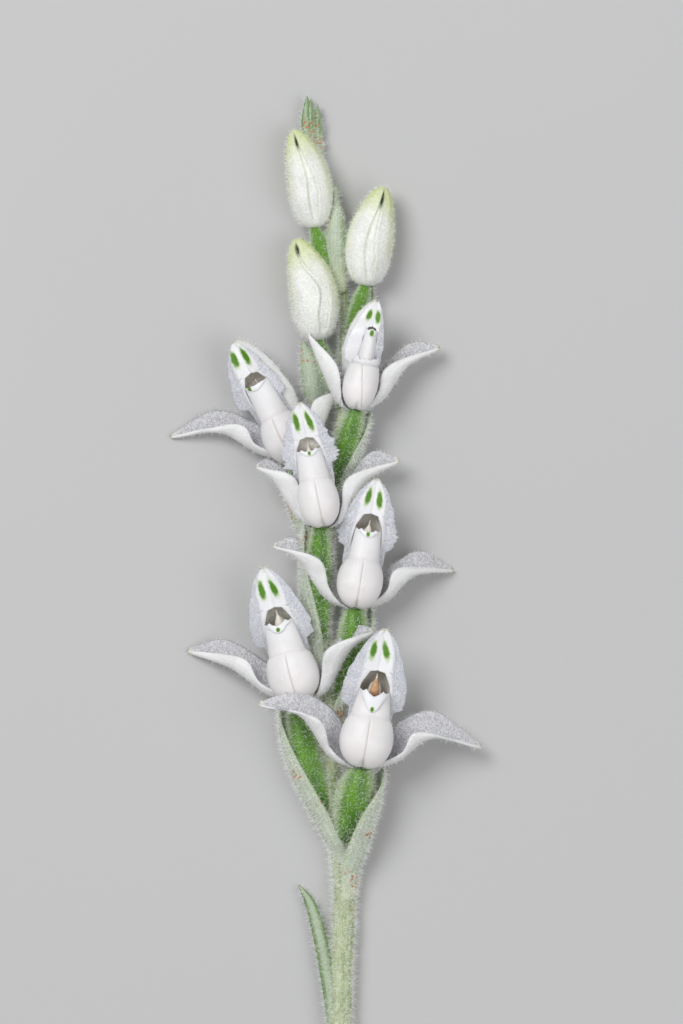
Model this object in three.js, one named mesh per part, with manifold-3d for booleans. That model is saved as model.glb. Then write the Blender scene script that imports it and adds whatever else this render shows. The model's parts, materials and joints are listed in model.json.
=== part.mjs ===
// A cut flower spike of a jewel orchid (Goodyera kind), lying on its back.
// Millimetres. +X runs across the spike, +Y up the spike, +Z away from the surface it lies on.
// Every lengthwise value s runs from 0 at a piece's foot to 1 at its tip.

import * as THREE from 'three';
import { mergeVertices } from 'three/addons/utils/BufferGeometryUtils.js';
import { ParametricGeometry } from 'three/addons/geometries/ParametricGeometry.js';
import Module from 'manifold-3d';

const wasm = await Module();
wasm.setup();

const { lerp, clamp, smoothstep, degToRad } = THREE.MathUtils;
const at = (x, y, z) => new THREE.Vector3(x, y, z);

// Driving dimensions

const SEPAL_THICKNESS = 0.14;
const PETAL_THICKNESS = 0.12;
const BRACT_THICKNESS = 0.16;
const CLEARANCE = 0.08;
const MERGE_DISTANCE = 0.002;
const LOWEST_SHEET = at(-Infinity, -Infinity, 0.09);
const SIMPLIFY_DISTANCE = 0.025;
const SHORT_EDGE = 0.05;
const LOW_TRIANGLE = 0.008;
const MOST_TURNED = 0.4;
const MOST_PASSES = 12;

const STEM_ROUTE = [
  at(-0.2, 0, 0.65), at(-0.12, 7.5, 0.65), at(0.06, 14.8, 0.65), at(-0.72, 19.6, 0.65), at(-0.74, 24.2, 0.65),
  at(-1.28, 28.6, 0.62), at(-1.36, 32, 0.58), at(-1.0, 35.5, 0.54), at(-0.4, 39, 0.5), at(0.05, 42.4, 0.5),
  at(0.25, 45.6, 0.5), at(0.15, 48.5, 0.5), at(-0.15, 50.6, 0.5), at(-0.66, 53.6, 0.5), at(-1.4, 57.4, 0.5),
];
const STEM_RADII = [0.65, 0.65, 0.65, 0.64, 0.6, 0.56, 0.5, 0.44, 0.38, 0.32, 0.24];

// Shapes that every flower shares, in a frame of its own with the foot of the flower at the origin:
// across (to the flower's left or right), up (along the flower) and out (towards the viewer of its face)

const LIP_RISE = [-0.06, 0.1, 0.55, 1.2, 1.9, 2.55, 3.15, 3.8, 4.45];
const LIP_HALF_WIDTH = [0.3, 0.8, 1.3, 1.55, 1.55, 1.34, 1.1, 1.0, 1.0];
const LIP_FRONT = [1.35, 1.85, 2.3, 2.52, 2.52, 2.36, 2.16, 2.08, 2.16];
const LIP_MIDDLE = [1.2, 1.2, 1.2, 1.2, 1.2, 1.25, 1.3, 1.3, 1.3];
const LIP_BACK = [1.05, 0.6, 0.15, -0.05, 0.0, 0.45, 1.35, 1.75, 1.95];
const SAC_TOP = 3.15;
const BRIM_TOP = 4.45;
const BRIM_DIP = 0.3;
const NECK_HALF_WIDTH = 0.97;

const HOOD_FOOT = 0.7;
const HOOD_TOP = 8.3;
const CLAW_OUTER = [[0.7, 0.85], [2.0, 1.1], [2.9, 1.32], [8.3, 1.4]];
const BLADE_OUTER = [[3.3, 1.9], [4.8, 1.98], [5.7, 1.74], [6.6, 1.4], [7.3, 1.07], [7.8, 0.76], [8.15, 0.4],
  [8.3, 0.16]];
const BLADE_ONSET = 0.3;
const PETAL_INNER = [[0.7, 0.5], [2.0, 0.72], [3.0, 0.86], [4.5, 0.88], [5.2, 0.76], [5.6, 0.5], [5.8, 0.05],
  [8.3, 0.04]];
const PETAL_OUT = [[0.7, 0.0], [2.0, 0.25], [3.2, 0.75], [4.4, 1.25], [5.6, 1.62], [7.0, 1.75], [8.3, 1.72]];
const PETAL_RIDGE = 0.7;
const PETAL_FLANK_SLOPE = 0.25;

const DORSAL_TOP = 8.42;
const DORSAL_HALF_WIDTH = [[0.7, 0.5], [2.2, 0.98], [4.2, 1.35], [6.0, 1.2], [7.2, 0.9], [8.0, 0.5],
  [8.42, 0.12]];
const DORSAL_EDGE_OUT = [[0.7, -0.25], [2.2, 0.0], [4.2, 0.72], [6.0, 1.2], [7.2, 1.4], [8.42, 1.5]];
const DORSAL_KEEL_OUT = [[0.7, -0.55], [2.2, -0.8], [4.2, -0.7], [6.0, -0.1], [7.2, 0.6], [8.0, 1.1],
  [8.42, 1.4]];

const COLUMN_ROUTE = [
  at(0, -0.5, -0.1), at(0, 1.0, -0.42), at(0, 2.8, -0.3), at(0, 4.2, 0.4), at(0, 5.0, 1.05),
];
const COLUMN_RADII = [0.3, 0.27, 0.3, 0.42, 0.04];

const OVARY_SHAPE = [0.36, 0.58, 0.86, 1, 0.98, 0.86, 0.6];
const BRACT_SHAPE = [0.56, 0.75, 0.93, 1, 0.99, 0.93];
const BRACT_SPREAD = [125, 112, 95, 74, 48, 8];

// Lateral sepals: a trough whose keel runs from the flower's foot over a knee to the tip. tip and knee are
// the keel's places (out to the side, up the spike, towards the viewer), rise is how far the far wall stands
// over the knee, fold is where the near wall's edge lies from the knee, and swell is how high the far wall
// stands halfway to the knee, as a share of its height at the knee.

const FLOWERS = [
  {
    name: 'flower_1', foot: at(1.08, 21.48, 2.5), tilt: -9.5, turn: 2, size: 1, spread: [1, 1],
    lobe: 3.5, sac: [1, 1], brim: [4.5, 0.93], tongue: 1.2,
    ovary: { from: at(-0.1, 16.6, 0.8), bow: at(0.1, 0, 0.2), lean: 0, radius: 1.16 },
    bract: { from: at(0.12, 15.3, 0.75), towards: -20, radius: 1.52 },
    left: { tip: [6.15, 3.66, 1.0], knee: [3.6, 3.05, 1.5], rise: 1.45, fold: [-1.0, -0.15], swell: 0.77 },
    right: { tip: [7.28, 1.05, -1.1], knee: [4.22, 1.72, 0.4], rise: 1.6, fold: [-0.8, 0.36], swell: 0.77 },
  },
  {
    name: 'flower_2', foot: at(-2.36, 25.52, 1.3), tilt: 15, turn: -10, size: 0.985, spread: [1, 0.97],
    lobe: 3.6, sac: [0.99, 0.97], brim: [4.85, 0.93], tongue: 0.5,
    ovary: { from: at(-0.72, 18.2, 0.75), bow: at(-0.4, 0, 0.1), lean: -0.4, radius: 1.0 },
    bract: { from: at(0.25, 15.9, 0.7), towards: 200, radius: 1.2 },
    left: { tip: [6.98, 2.8, -1.15], knee: [4.4, 1.91, 0.2], rise: 1.63, fold: [-0.75, 0.55], swell: 0.6 },
    right: { tip: [4.22, 4.0, 1.5], knee: [2.76, 2.95, 1.6], rise: 1.4, fold: [-1.3, 0.1], swell: 0.62 },
  },
  {
    name: 'flower_3', foot: at(0.71, 31.02, 1.9), tilt: -9.4, turn: 2, size: 0.93, spread: [1, 1],
    lobe: 3.85, sac: [0.89, 0.92], brim: [4.76, 0.8], tongue: 0.4,
    ovary: { from: at(-0.4, 25.2, 0.75), bow: at(0.35, 0, -0.05), lean: 0, radius: 1.0 },
    bract: { towards: -25, radius: 1.14 },
    left: { tip: [4.92, 3.6, 0.9], knee: [3.4, 2.9, 1.05], rise: 1.3, fold: [-1.25, 0], swell: 0.72 },
    right: { tip: [5.94, 2.14, -1.75], knee: [3.6, 1.92, 0.0], rise: 1.45, fold: [-1.0, 0.43], swell: 0.64 },
  },
  {
    name: 'flower_4', foot: at(-1.14, 35.88, 2.9), tilt: 11, turn: -1, size: 0.895, spread: [1, 1],
    lobe: 4.1, sac: [0.83, 0.95], brim: [4.62, 0.78], tongue: 0.45,
    ovary: { from: at(-1.3, 28.4, 0.8), bow: at(-0.15, 0, -0.3), lean: -0.2, radius: 0.9 },
    bract: { towards: 195, radius: 1.05 },
    left: { tip: [4.08, 3.48, 0.0], knee: [2.98, 2.74, 0.3], rise: 1.22, fold: [-1.2, 0.2], swell: 0.65 },
    right: { tip: [4.54, 3.84, -0.7], knee: [2.61, 2.75, -0.5], rise: 1.7, fold: [-1.15, 0.2], swell: 0.57 },
  },
  {
    name: 'flower_5', foot: at(-2.43, 39.9, 0.9), tilt: 27.5, turn: -14, size: 0.97, spread: [1, 1],
    lobe: 4.2, sac: [0.88, 1], brim: [5.05, 0.82], tongue: 0.4,
    ovary: { from: at(-1.2, 34.0, 0.62), bow: at(-0.2, 0, 0.1), lean: -0.4, radius: 0.8 },
    bract: { towards: 200, radius: 0.98 },
    left: { tip: [7.95, 1.26, -0.75], knee: [4.95, 1.6, 0.1], rise: 1.32, fold: [-1.1, 0.48], swell: 0.69 },
    right: { tip: [2.07, 3.96, 0.6], knee: [1.42, 2.55, 0.5], rise: 1.83, fold: [-0.8, 0.85], swell: 0.61 },
  },
  {
    name: 'flower_6', foot: at(0.68, 42.9, 2.1), tilt: -11.5, turn: 4, size: 0.788, spread: [1, 0.6],
    lobe: 3.4, sac: [0.74, 0.98], brim: [4.75, 0.38], tongue: 0.5,
    ovary: { from: at(-0.3, 38.0, 0.75), bow: at(-0.1, 0, 0), lean: 0.1, radius: 0.86 },
    bract: { towards: -25, radius: 1.0 },
    left: { tip: [2.78, 4.44, 0.3], knee: [2.0, 2.5, 0.5], rise: 1.35, fold: [-0.9, 0.2], swell: 0.7 },
    right: { tip: [5.14, 3.6, -0.8], knee: [3.16, 2.58, 0.0], rise: 1.38, fold: [-1.15, 0], swell: 0.6 },
  },
];

const BUDS = [
  {
    name: 'bud_1', foot: at(-1.56, 47.0, 1.45), tip: at(-2.82, 53.1, 1.6), bow: 0.4, radius: 1.43,
    ovary: { from: at(-0.1, 43.0, 0.75), bow: at(0, 0, 0), lean: 0, radius: 0.62 },
    blade: {
      route: [at(-1.2, 42.4, 0.6), at(-1.75, 44.0, 1.2), at(-1.9, 45.4, 1.5), at(-2.4, 46.9, 1.4)],
      halfWidths: [0.25, 0.6, 0.68, 0.6, 0.12],
    },
  },
  {
    name: 'bud_2', foot: at(1.32, 50.28, 1.4), tip: at(2.46, 56.22, 1.7), bow: -0.24, radius: 1.4,
    ovary: { from: at(0.2, 46.6, 0.7), bow: at(0.05, 0, 0), lean: 0, radius: 0.62 },
    bract: { towards: -60, radius: 0.8 },
  },
  {
    name: 'bud_3', foot: at(-1.74, 53.76, 1.35), tip: at(-2.94, 59.64, 1.5), bow: 0.28, radius: 1.3,
    ovary: { from: at(-0.45, 50.2, 0.7), bow: at(0, 0, 0), lean: 0, radius: 0.6 },
    blade: {
      route: [at(-0.1, 49.8, 0.95), at(-0.45, 52.6, 1.3), at(-0.4, 54.4, 1.35), at(-0.48, 56.3, 1.1)],
      halfWidths: [0.3, 0.72, 0.62, 0.32, 0.1],
    },
  },
];

const STERILE_BRACT = {
  route: [
    at(-0.45, 3.4, 0.8), at(-0.62, 6.6, 1.0), at(-0.98, 9.2, 0.9), at(-1.4, 11.3, 0.75), at(-1.95, 13.2, 0.6),
    at(-2.64, 14.34, 0.45),
  ],
  halfWidths: [0.34, 0.4, 0.42, 0.4, 0.3, 0.05],
};

// Young bracts closed together at the top: route and radius of each
const SPIKE_TIP = [
  { route: [at(-1.5, 57.0, 0.55), at(-2.1, 59.4, 0.6), at(-2.16, 61.68, 0.65)], radius: 0.4 },
  { route: [at(-1.45, 57.0, 0.55), at(-1.9, 59.4, 0.62), at(-1.92, 61.5, 0.7)], radius: 0.36 },
  { route: [at(-1.4, 57.0, 0.5), at(-1.46, 59.2, 0.5), at(-1.52, 61.17, 0.55)], radius: 0.28 },
];

// Curves and profiles

const spline = (points) => new THREE.CatmullRomCurve3(points, false, 'catmullrom', 0.5);

function between(p0, p1, p2, p3, t) {
  const t2 = t * t;
  const t3 = t2 * t;
  const bend = 2 * p0 - 5 * p1 + 4 * p2 - p3;
  const twist = 3 * p1 - p0 - 3 * p2 + p3;
  return 0.5 * (2 * p1 + (p2 - p0) * t + bend * t2 + twist * t3);
}

// A smooth value along s from evenly spaced ones
function profile(values, s) {
  const last = values.length - 1;
  const i = Math.min(Math.floor(s * last), last - 1);
  const before = values[Math.max(i - 1, 0)];
  const after = values[Math.min(i + 2, last)];
  return between(before, values[i], values[i + 1], after, s * last - i);
}

// A value at x from [x, value] pairs
function lookup(pairs, x) {
  const next = Math.max(1, pairs.findIndex(([edge]) => edge >= x));
  const [x0, y0] = pairs[next - 1];
  const [x1, y1] = pairs[next];
  return lerp(y0, y1, clamp((x - x0) / (x1 - x0), 0, 1));
}

// Solids

function toSolid(geometry) {
  geometry.deleteAttribute('normal');
  geometry.deleteAttribute('uv');
  const merged = mergeVertices(geometry, MERGE_DISTANCE);
  const index = Array.from(merged.index.array);
  const triangles = [];
  for (let i = 0; i < index.length; i += 3) {
    const [a, b, c] = index.slice(i, i + 3);
    if (a !== b && b !== c && c !== a) triangles.push(a, b, c);
  }
  const vertProperties = new Float32Array(merged.attributes.position.array);
  const build = (triVerts) => new wasm.Manifold(new wasm.Mesh({ numProp: 3, vertProperties, triVerts }));
  const solid = build(new Uint32Array(triangles));
  return solid.volume() > 0 ? solid : build(new Uint32Array(triangles.reverse()));
}

function toGeometry(solid) {
  const { vertProperties, triVerts, numProp } = solid.getMesh();
  const position = new Float32Array((vertProperties.length / numProp) * 3);
  for (let i = 0; i < position.length / 3; i += 1) {
    for (let axis = 0; axis < 3; axis += 1) position[3 * i + axis] = vertProperties[numProp * i + axis];
  }
  const geometry = new THREE.BufferGeometry();
  geometry.setAttribute('position', new THREE.BufferAttribute(position, 3));
  geometry.setIndex(new THREE.BufferAttribute(new Uint32Array(triVerts), 1));
  return geometry;
}

// A closed body from rings: ring(s, a) gives the point a turns around the station s, and cap(s, a) the point
// that it runs in to where an end closes
function loft(ring, cap, stations, sides) {
  const rows = stations + 2;
  const surface = (a, v, target) => {
    const s = clamp((v * rows - 1) / stations, 0, 1);
    target.copy(v > 0 && v < 1 ? ring(s, a % 1) : cap(s, a % 1));
  };
  return toSolid(new ParametricGeometry(surface, sides, rows));
}

// The two directions across a curve: side lies level, lift points up from the surface below
function crossAxes(curve, s) {
  const along = curve.getTangent(clamp(s, 0, 1));
  const side = along.clone().cross(at(0, 0, 1)).normalize();
  return { side, lift: side.clone().cross(along) };
}

function spindle(curve, radiusAt, stations, sides, flatness = 1) {
  const ring = (s, a) => {
    const { side, lift } = crossAxes(curve, s);
    const angle = a * 2 * Math.PI;
    const radius = radiusAt(s);
    return curve.getPoint(s)
      .addScaledVector(side, radius * Math.cos(angle))
      .addScaledVector(lift, radius * flatness * Math.sin(angle));
  };
  return loft(ring, (s) => curve.getPoint(s), stations, sides);
}

// A thickened sheet: surface(s, t) with t from -1 to 1 across it, thinner at its tip
function sheet(surface, thickness, stations, across) {
  const step = 0.01;
  const normalAt = (s, t) => {
    const ds = surface(Math.min(s + step, 1), t).sub(surface(Math.max(s - step, 0), t));
    const dt = surface(s, Math.min(t + step, 1)).sub(surface(s, Math.max(t - step, -1)));
    return ds.cross(dt).normalize();
  };
  const columnAt = (a) => Math.round(a * 2 * (across + 1));
  const acrossAt = (column) => (column <= across ? column : 2 * across + 1 - column) / across * 2 - 1;
  const ring = (s, a) => {
    const t = acrossAt(columnAt(a));
    const half = thickness / 2 * Math.min(1, 0.4 + 4 * (1 - s));
    return surface(s, t).addScaledVector(normalAt(s, t), columnAt(a) <= across ? half : -half);
  };
  return loft(ring, (s, a) => surface(s, acrossAt(columnAt(a))), stations, 2 * (across + 1));
}

// The same solid with every face moved outward, to cut its neighbours clear of it
function grown(solid, distance) {
  const geometry = toGeometry(solid);
  geometry.computeVertexNormals();
  const { position, normal } = geometry.attributes;
  for (let i = 0; i < position.count; i += 1) {
    const point = at().fromBufferAttribute(position, i);
    point.addScaledVector(at().fromBufferAttribute(normal, i), distance);
    position.setXYZ(i, point.x, point.y, point.z);
  }
  return toSolid(geometry);
}

// A triangle's edges from the shortest to the longest, each with the corner across from it
function edgesOf(face, points) {
  return face
    .map((from, i) => {
      const to = face[(i + 1) % 3];
      return { from, to, across: face[(i + 2) % 3], length: points[from].distanceTo(points[to]) };
    })
    .sort((a, b) => a.length - b.length);
}

function heightOf(face, points) {
  const [a, b, c] = face.map((i) => points[i]);
  const twiceArea = b.clone().sub(a).cross(c.clone().sub(a)).length();
  return twiceArea / edgesOf(face, points)[2].length;
}

// The same solid without the needle-thin triangles that a cut leaves: a short edge is drawn together to its
// middle, and a long flat triangle trades its longest edge for the other diagonal
function smoothedCut(solid) {
  const { vertProperties, triVerts, numProp } = solid.getMesh();
  const points = [];
  for (let i = 0; i < vertProperties.length; i += numProp) points.push(at(...vertProperties.slice(i, i + 3)));
  let faces = [];
  for (let i = 0; i < triVerts.length; i += 3) faces.push(Array.from(triVerts.slice(i, i + 3)));

  const withBoth = (a, b) => faces.filter((face) => face.includes(a) && face.includes(b));
  const normalOf = (face) => {
    const [a, b, c] = face.map((i) => points[i]);
    return b.clone().sub(a).cross(c.clone().sub(a)).normalize();
  };

  const drawTogether = ({ from, to }) => {
    const touching = faces.filter((face) => face.includes(from) || face.includes(to));
    const aroundFrom = new Set(touching.filter((face) => face.includes(from)).flat());
    const aroundTo = new Set(touching.filter((face) => face.includes(to)).flat());
    const shared = [...aroundFrom].filter((i) => aroundTo.has(i) && i !== from && i !== to);
    if (shared.length !== 2) return false;
    const kept = touching.filter((face) => !(face.includes(from) && face.includes(to)));
    const sound = kept.filter((face) => heightOf(face, points) > LOW_TRIANGLE);
    const before = sound.map(normalOf);
    const [atFrom, atTo] = [points[from], points[to]];
    const middle = atFrom.clone().lerp(atTo, 0.5);
    points[from] = middle;
    points[to] = middle;
    if (sound.some((face, i) => normalOf(face).dot(before[i]) < MOST_TURNED)) {
      points[from] = atFrom;
      points[to] = atTo;
      return false;
    }
    faces = faces
      .filter((face) => !(face.includes(from) && face.includes(to)))
      .map((face) => (face.includes(to) ? face.map((i) => (i === to ? from : i)) : face));
    return true;
  };

  const tradeDiagonal = (face, { from, to, across }) => {
    const other = withBoth(from, to).find((one) => one !== face);
    const far = other.find((i) => i !== from && i !== to);
    if (withBoth(across, far).length > 0) return false;
    const traded = [[across, from, far], [across, far, to]];
    if (Math.min(...traded.map((one) => heightOf(one, points))) < heightOf(face, points)) return false;
    faces = faces.filter((one) => one !== face && one !== other).concat(traded);
    return true;
  };

  for (let pass = 0, changed = true; changed && pass < MOST_PASSES; pass += 1) {
    changed = false;
    for (const face of faces) {
      if (!faces.includes(face)) continue;
      const [shortest, , longest] = edgesOf(face, points);
      if (shortest.length < SHORT_EDGE) {
        changed = drawTogether(shortest) || changed;
      } else if (heightOf(face, points) < LOW_TRIANGLE) {
        changed = tradeDiagonal(face, longest) || drawTogether(shortest) || changed;
      }
    }
  }
  const positions = new Float32Array(points.flatMap((point) => point.toArray()));
  return new wasm.Manifold(new wasm.Mesh({
    numProp: 3, vertProperties: positions, triVerts: new Uint32Array(faces.flat()),
  }));
}

const largestPiece = (solid) => solid.decompose().sort((a, b) => b.volume() - a.volume())[0];

// Flower pieces, each as a solid in the flower's own frame

function lip({ sac, brim, size }) {
  const [wide, tall] = sac;
  const [brimHeight, brimHalfWidth] = brim;
  const sacTop = SAC_TOP * tall;
  const stretch = (brimHeight - sacTop) / (BRIM_TOP - SAC_TOP);
  const ring = (s, a) => {
    const angle = a * 2 * Math.PI;
    const middle = profile(LIP_MIDDLE, s);
    const reach = Math.sin(angle) > 0 ? profile(LIP_FRONT, s) - middle : middle - profile(LIP_BACK, s);
    const rise = profile(LIP_RISE, s);
    const scale = rise < SAC_TOP
      ? lerp(wide, NECK_HALF_WIDTH, smoothstep(rise, 2.2, SAC_TOP))
      : lerp(NECK_HALF_WIDTH, brimHalfWidth, smoothstep(rise, SAC_TOP, BRIM_TOP));
    const across = profile(LIP_HALF_WIDTH, s) * Math.cos(angle) * scale;
    const up = rise < SAC_TOP ? rise * tall : sacTop + (rise - SAC_TOP) * stretch;
    const dip = BRIM_DIP * Math.max(0, s * 8 - 7) * Math.max(0, 1 - Math.abs(across) / 0.45);
    return at(across, up - dip, size * (middle + reach * Math.sin(angle)));
  };
  const cap = (s, a) => ring(s, a).lerp(ring(s, 1 - a), 0.5);
  return loft(ring, cap, 10, 12);
}

function tongue({ tongue: length, brim, sac, size }) {
  const surface = (s, t) => {
    const across = t * lerp(0.7, 0.05, s) * sac[0];
    const out = 2.1 + 0.1 * Math.sin(Math.PI * s) - 0.25 * across * across;
    return at(across, brim[0] - 0.05 - s * length, size * out);
  };
  return sheet(surface, PETAL_THICKNESS, 3, 3);
}

function petal({ size, spread, lobe }, hand) {
  const share = hand < 0 ? spread[0] : spread[1];
  const surface = (s, t) => {
    const up = lerp(HOOD_FOOT, HOOD_TOP, s);
    const bladeShare = smoothstep(up, lobe, lobe + BLADE_ONSET);
    const outer = lerp(lookup(CLAW_OUTER, up), lookup(BLADE_OUTER, up), bladeShare) * share;
    const across = lerp(lookup(PETAL_INNER, up) * share, outer, (t + 1) / 2);
    const out = lookup(PETAL_OUT, up) - PETAL_FLANK_SLOPE * Math.max(0, across - PETAL_RIDGE);
    return at(hand * across, up, out).multiplyScalar(size);
  };
  return sheet(surface, PETAL_THICKNESS, 12, 3);
}

function dorsalSepal({ size, spread }) {
  const surface = (s, t) => {
    const up = lerp(HOOD_FOOT, DORSAL_TOP, s);
    const across = t * lookup(DORSAL_HALF_WIDTH, up) * (t < 0 ? spread[0] : spread[1]);
    const keel = lookup(DORSAL_KEEL_OUT, up);
    return at(across, up, lerp(keel, lookup(DORSAL_EDGE_OUT, up), t * t)).multiplyScalar(size);
  };
  return sheet(surface, SEPAL_THICKNESS, 6, 4);
}

function column({ size }) {
  const route = COLUMN_ROUTE.map((point) => point.clone().multiplyScalar(size));
  return spindle(spline(route), (s) => size * profile(COLUMN_RADII, s), 6, 6);
}

// Pieces placed on the spike

function lateralSepal(flower, hand, { tip, knee, rise, fold, swell }) {
  const [kneeOut, kneeUp, kneeLift] = knee;
  const foldOut = kneeOut + fold[0];
  const foldUp = kneeUp + fold[1];
  const crestOut = kneeOut + 0.2;
  const crestUp = kneeUp + rise;
  const place = (out, up, lift) => flower.foot.clone().add(at(hand * out, up, lift)).max(LOWEST_SHEET);
  const end = place(...tip);
  const keel = spline([
    place(0.3, -0.12, 0.25), place(0.5 * kneeOut + 0.1, 0.22 * kneeUp, 0.5 * kneeLift + 0.1),
    place(...knee), end,
  ]);
  const near = spline([
    place(0.85, 0.1, 0.8), place(0.72 * foldOut, 0.42 * foldUp, 0.5 * kneeLift + 0.75),
    place(foldOut, foldUp, kneeLift + 0.6), end.clone().add(at(0, 0.1, 0.12)),
  ]);
  const far = spline([
    place(0.4, 1.3, -0.4), place(0.45 * crestOut, swell * crestUp, 0.5 * kneeLift - 0.45),
    place(crestOut, crestUp, kneeLift - 0.6), end.clone().add(at(-0.1 * hand, 0.26, 0)),
  ]);
  const surface = (s, t) => {
    const low = keel.getPoint(s);
    const edge = (t < 0 ? far : near).getPoint(s);
    const bend = Math.abs(t) * Math.PI / 2;
    const level = 1 - Math.cos(bend);
    return at(
      lerp(low.x, edge.x, level),
      lerp(low.y, edge.y, level),
      lerp(low.z, edge.z, Math.sin(bend)),
    );
  };
  return sheet(surface, SEPAL_THICKNESS, 8, 4);
}

function ovaryCurve({ foot, ovary: { from, bow, lean } }, start = from) {
  const top = foot.clone().add(at(lean, 0, 0));
  const middle = from.clone().lerp(top, 0.5).add(bow);
  return spline([start, middle, top]);
}

function ovary(owner) {
  const radiusAt = (s) => owner.ovary.radius * profile(OVARY_SHAPE, s);
  return spindle(ovaryCurve(owner), radiusAt, 6, 10);
}

function bract(owner) {
  const curve = ovaryCurve(owner, owner.bract.from);
  const surface = (s, t) => {
    const { side, lift } = crossAxes(curve, s);
    const angle = degToRad(owner.bract.towards + t * profile(BRACT_SPREAD, s));
    const radius = owner.bract.radius * profile(BRACT_SHAPE, s);
    return curve.getPoint(s)
      .addScaledVector(side, radius * Math.cos(angle))
      .addScaledVector(lift, radius * Math.sin(angle))
      .max(LOWEST_SHEET);
  };
  return sheet(surface, BRACT_THICKNESS, 6, 6);
}

function bud({ foot, tip, bow, radius }) {
  const middle = foot.clone().lerp(tip, 0.5).add(at(bow, 0, 0.1));
  const radiusAt = (s) => radius * Math.sqrt(Math.max(0.01, Math.sin(Math.PI * s ** 0.75)));
  return spindle(spline([foot, middle, tip]), radiusAt, 10, 12);
}

// A bract that stands free of its ovary: a blade arched across
function blade({ route, halfWidths }) {
  const curve = spline(route);
  const surface = (s, t) => {
    const { side, lift } = crossAxes(curve, s);
    const halfWidth = profile(halfWidths, s);
    return curve.getPoint(s)
      .addScaledVector(side, halfWidth * t)
      .addScaledVector(lift, -0.6 * halfWidth * t * t)
      .max(LOWEST_SHEET);
  };
  return sheet(surface, BRACT_THICKNESS, 7, 3);
}

function spikeTip() {
  const youngBract = ({ route, radius }) => {
    const radiusAt = (s) => radius * Math.sqrt(Math.max(0.01, 1 - s ** 2)) * lerp(0.8, 1, s);
    return spindle(spline(route), radiusAt, 6, 8);
  };
  return SPIKE_TIP.map(youngBract).reduce((whole, one) => whole.add(one));
}

function placed(solid, { foot, tilt, turn }) {
  const frame = new THREE.Matrix4().makeTranslation(foot.x, foot.y, foot.z)
    .multiply(new THREE.Matrix4().makeRotationZ(degToRad(tilt)))
    .multiply(new THREE.Matrix4().makeRotationY(degToRad(turn)));
  return solid.transform(frame.elements);
}

// The whole spike, in the order in which neighbours make room for each other

const STEM = { color: 0xc3cdb6, roughness: 0.75 };
const OVARY = { color: 0x6fa04e, roughness: 0.6 };
const BRACT = { color: 0xb4c2a4, roughness: 0.75 };
const LIP = { color: 0xf1ece8, roughness: 0.5 };
const SEPAL = { color: 0xe3e3e6, roughness: 0.6 };
const PETAL = { color: 0xe9ebf2, roughness: 0.5 };
const BUD = { color: 0xe8ecd9, roughness: 0.6 };

const pieces = [];
const addPiece = (name, solid, finish) => pieces.push({ name, solid, finish });

addPiece('stem', spindle(spline(STEM_ROUTE), (s) => profile(STEM_RADII, s), 28, 10), STEM);
for (const flower of FLOWERS) {
  addPiece(`${flower.name}_ovary`, ovary(flower).add(placed(column(flower), flower)), OVARY);
  addPiece(`${flower.name}_lip`, placed(lip(flower).add(tongue(flower)), flower), LIP);
}
for (const one of BUDS) addPiece(one.name, ovary(one).add(bud(one)), BUD);
for (const flower of FLOWERS) {
  addPiece(`${flower.name}_dorsal_sepal`, placed(dorsalSepal(flower), flower), SEPAL);
  addPiece(`${flower.name}_petal_left`, placed(petal(flower, -1), flower), PETAL);
  addPiece(`${flower.name}_petal_right`, placed(petal(flower, 1), flower), PETAL);
}
for (const flower of FLOWERS) {
  addPiece(`${flower.name}_lateral_sepal_left`, lateralSepal(flower, -1, flower.left), SEPAL);
  addPiece(`${flower.name}_lateral_sepal_right`, lateralSepal(flower, 1, flower.right), SEPAL);
}
for (const owner of [...FLOWERS, ...BUDS]) {
  addPiece(`${owner.name}_bract`, owner.blade ? blade(owner.blade) : bract(owner), BRACT);
}
addPiece('sterile_bract', blade(STERILE_BRACT), BRACT);
addPiece('spike_tip', spikeTip(), BRACT);

function meet(a, b) {
  const boxA = a.boundingBox();
  const boxB = b.boundingBox();
  return [0, 1, 2].every((i) => boxA.min[i] < boxB.max[i] && boxB.min[i] < boxA.max[i]);
}

const cutters = [];
for (const piece of pieces) {
  for (const cutter of cutters) {
    if (meet(piece.solid, cutter)) piece.solid = piece.solid.subtract(cutter);
  }
  piece.solid = largestPiece(smoothedCut(largestPiece(piece.solid).simplify(SIMPLIFY_DISTANCE)));
  cutters.push(grown(piece.solid, CLEARANCE));
}

const spike = new THREE.Group();
for (const { name, solid, finish } of pieces) {
  const mesh = new THREE.Mesh(toGeometry(solid), new THREE.MeshStandardMaterial({ ...finish, metalness: 0 }));
  mesh.name = name;
  spike.add(mesh);
}

const box = new THREE.Box3().setFromObject(spike);
const centre = box.getCenter(at());
spike.position.set(-centre.x, -centre.y, -box.min.z);

const part = new THREE.Group();
part.add(spike);

export default part;
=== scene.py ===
"""A jewel orchid flower spike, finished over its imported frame, laid out as a Blender add-on.

Lengths in the tables are millimetres on the spike: across, up the spike, and out from the surface it
lies on. Everything that reaches Blender is in metres.
"""

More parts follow.
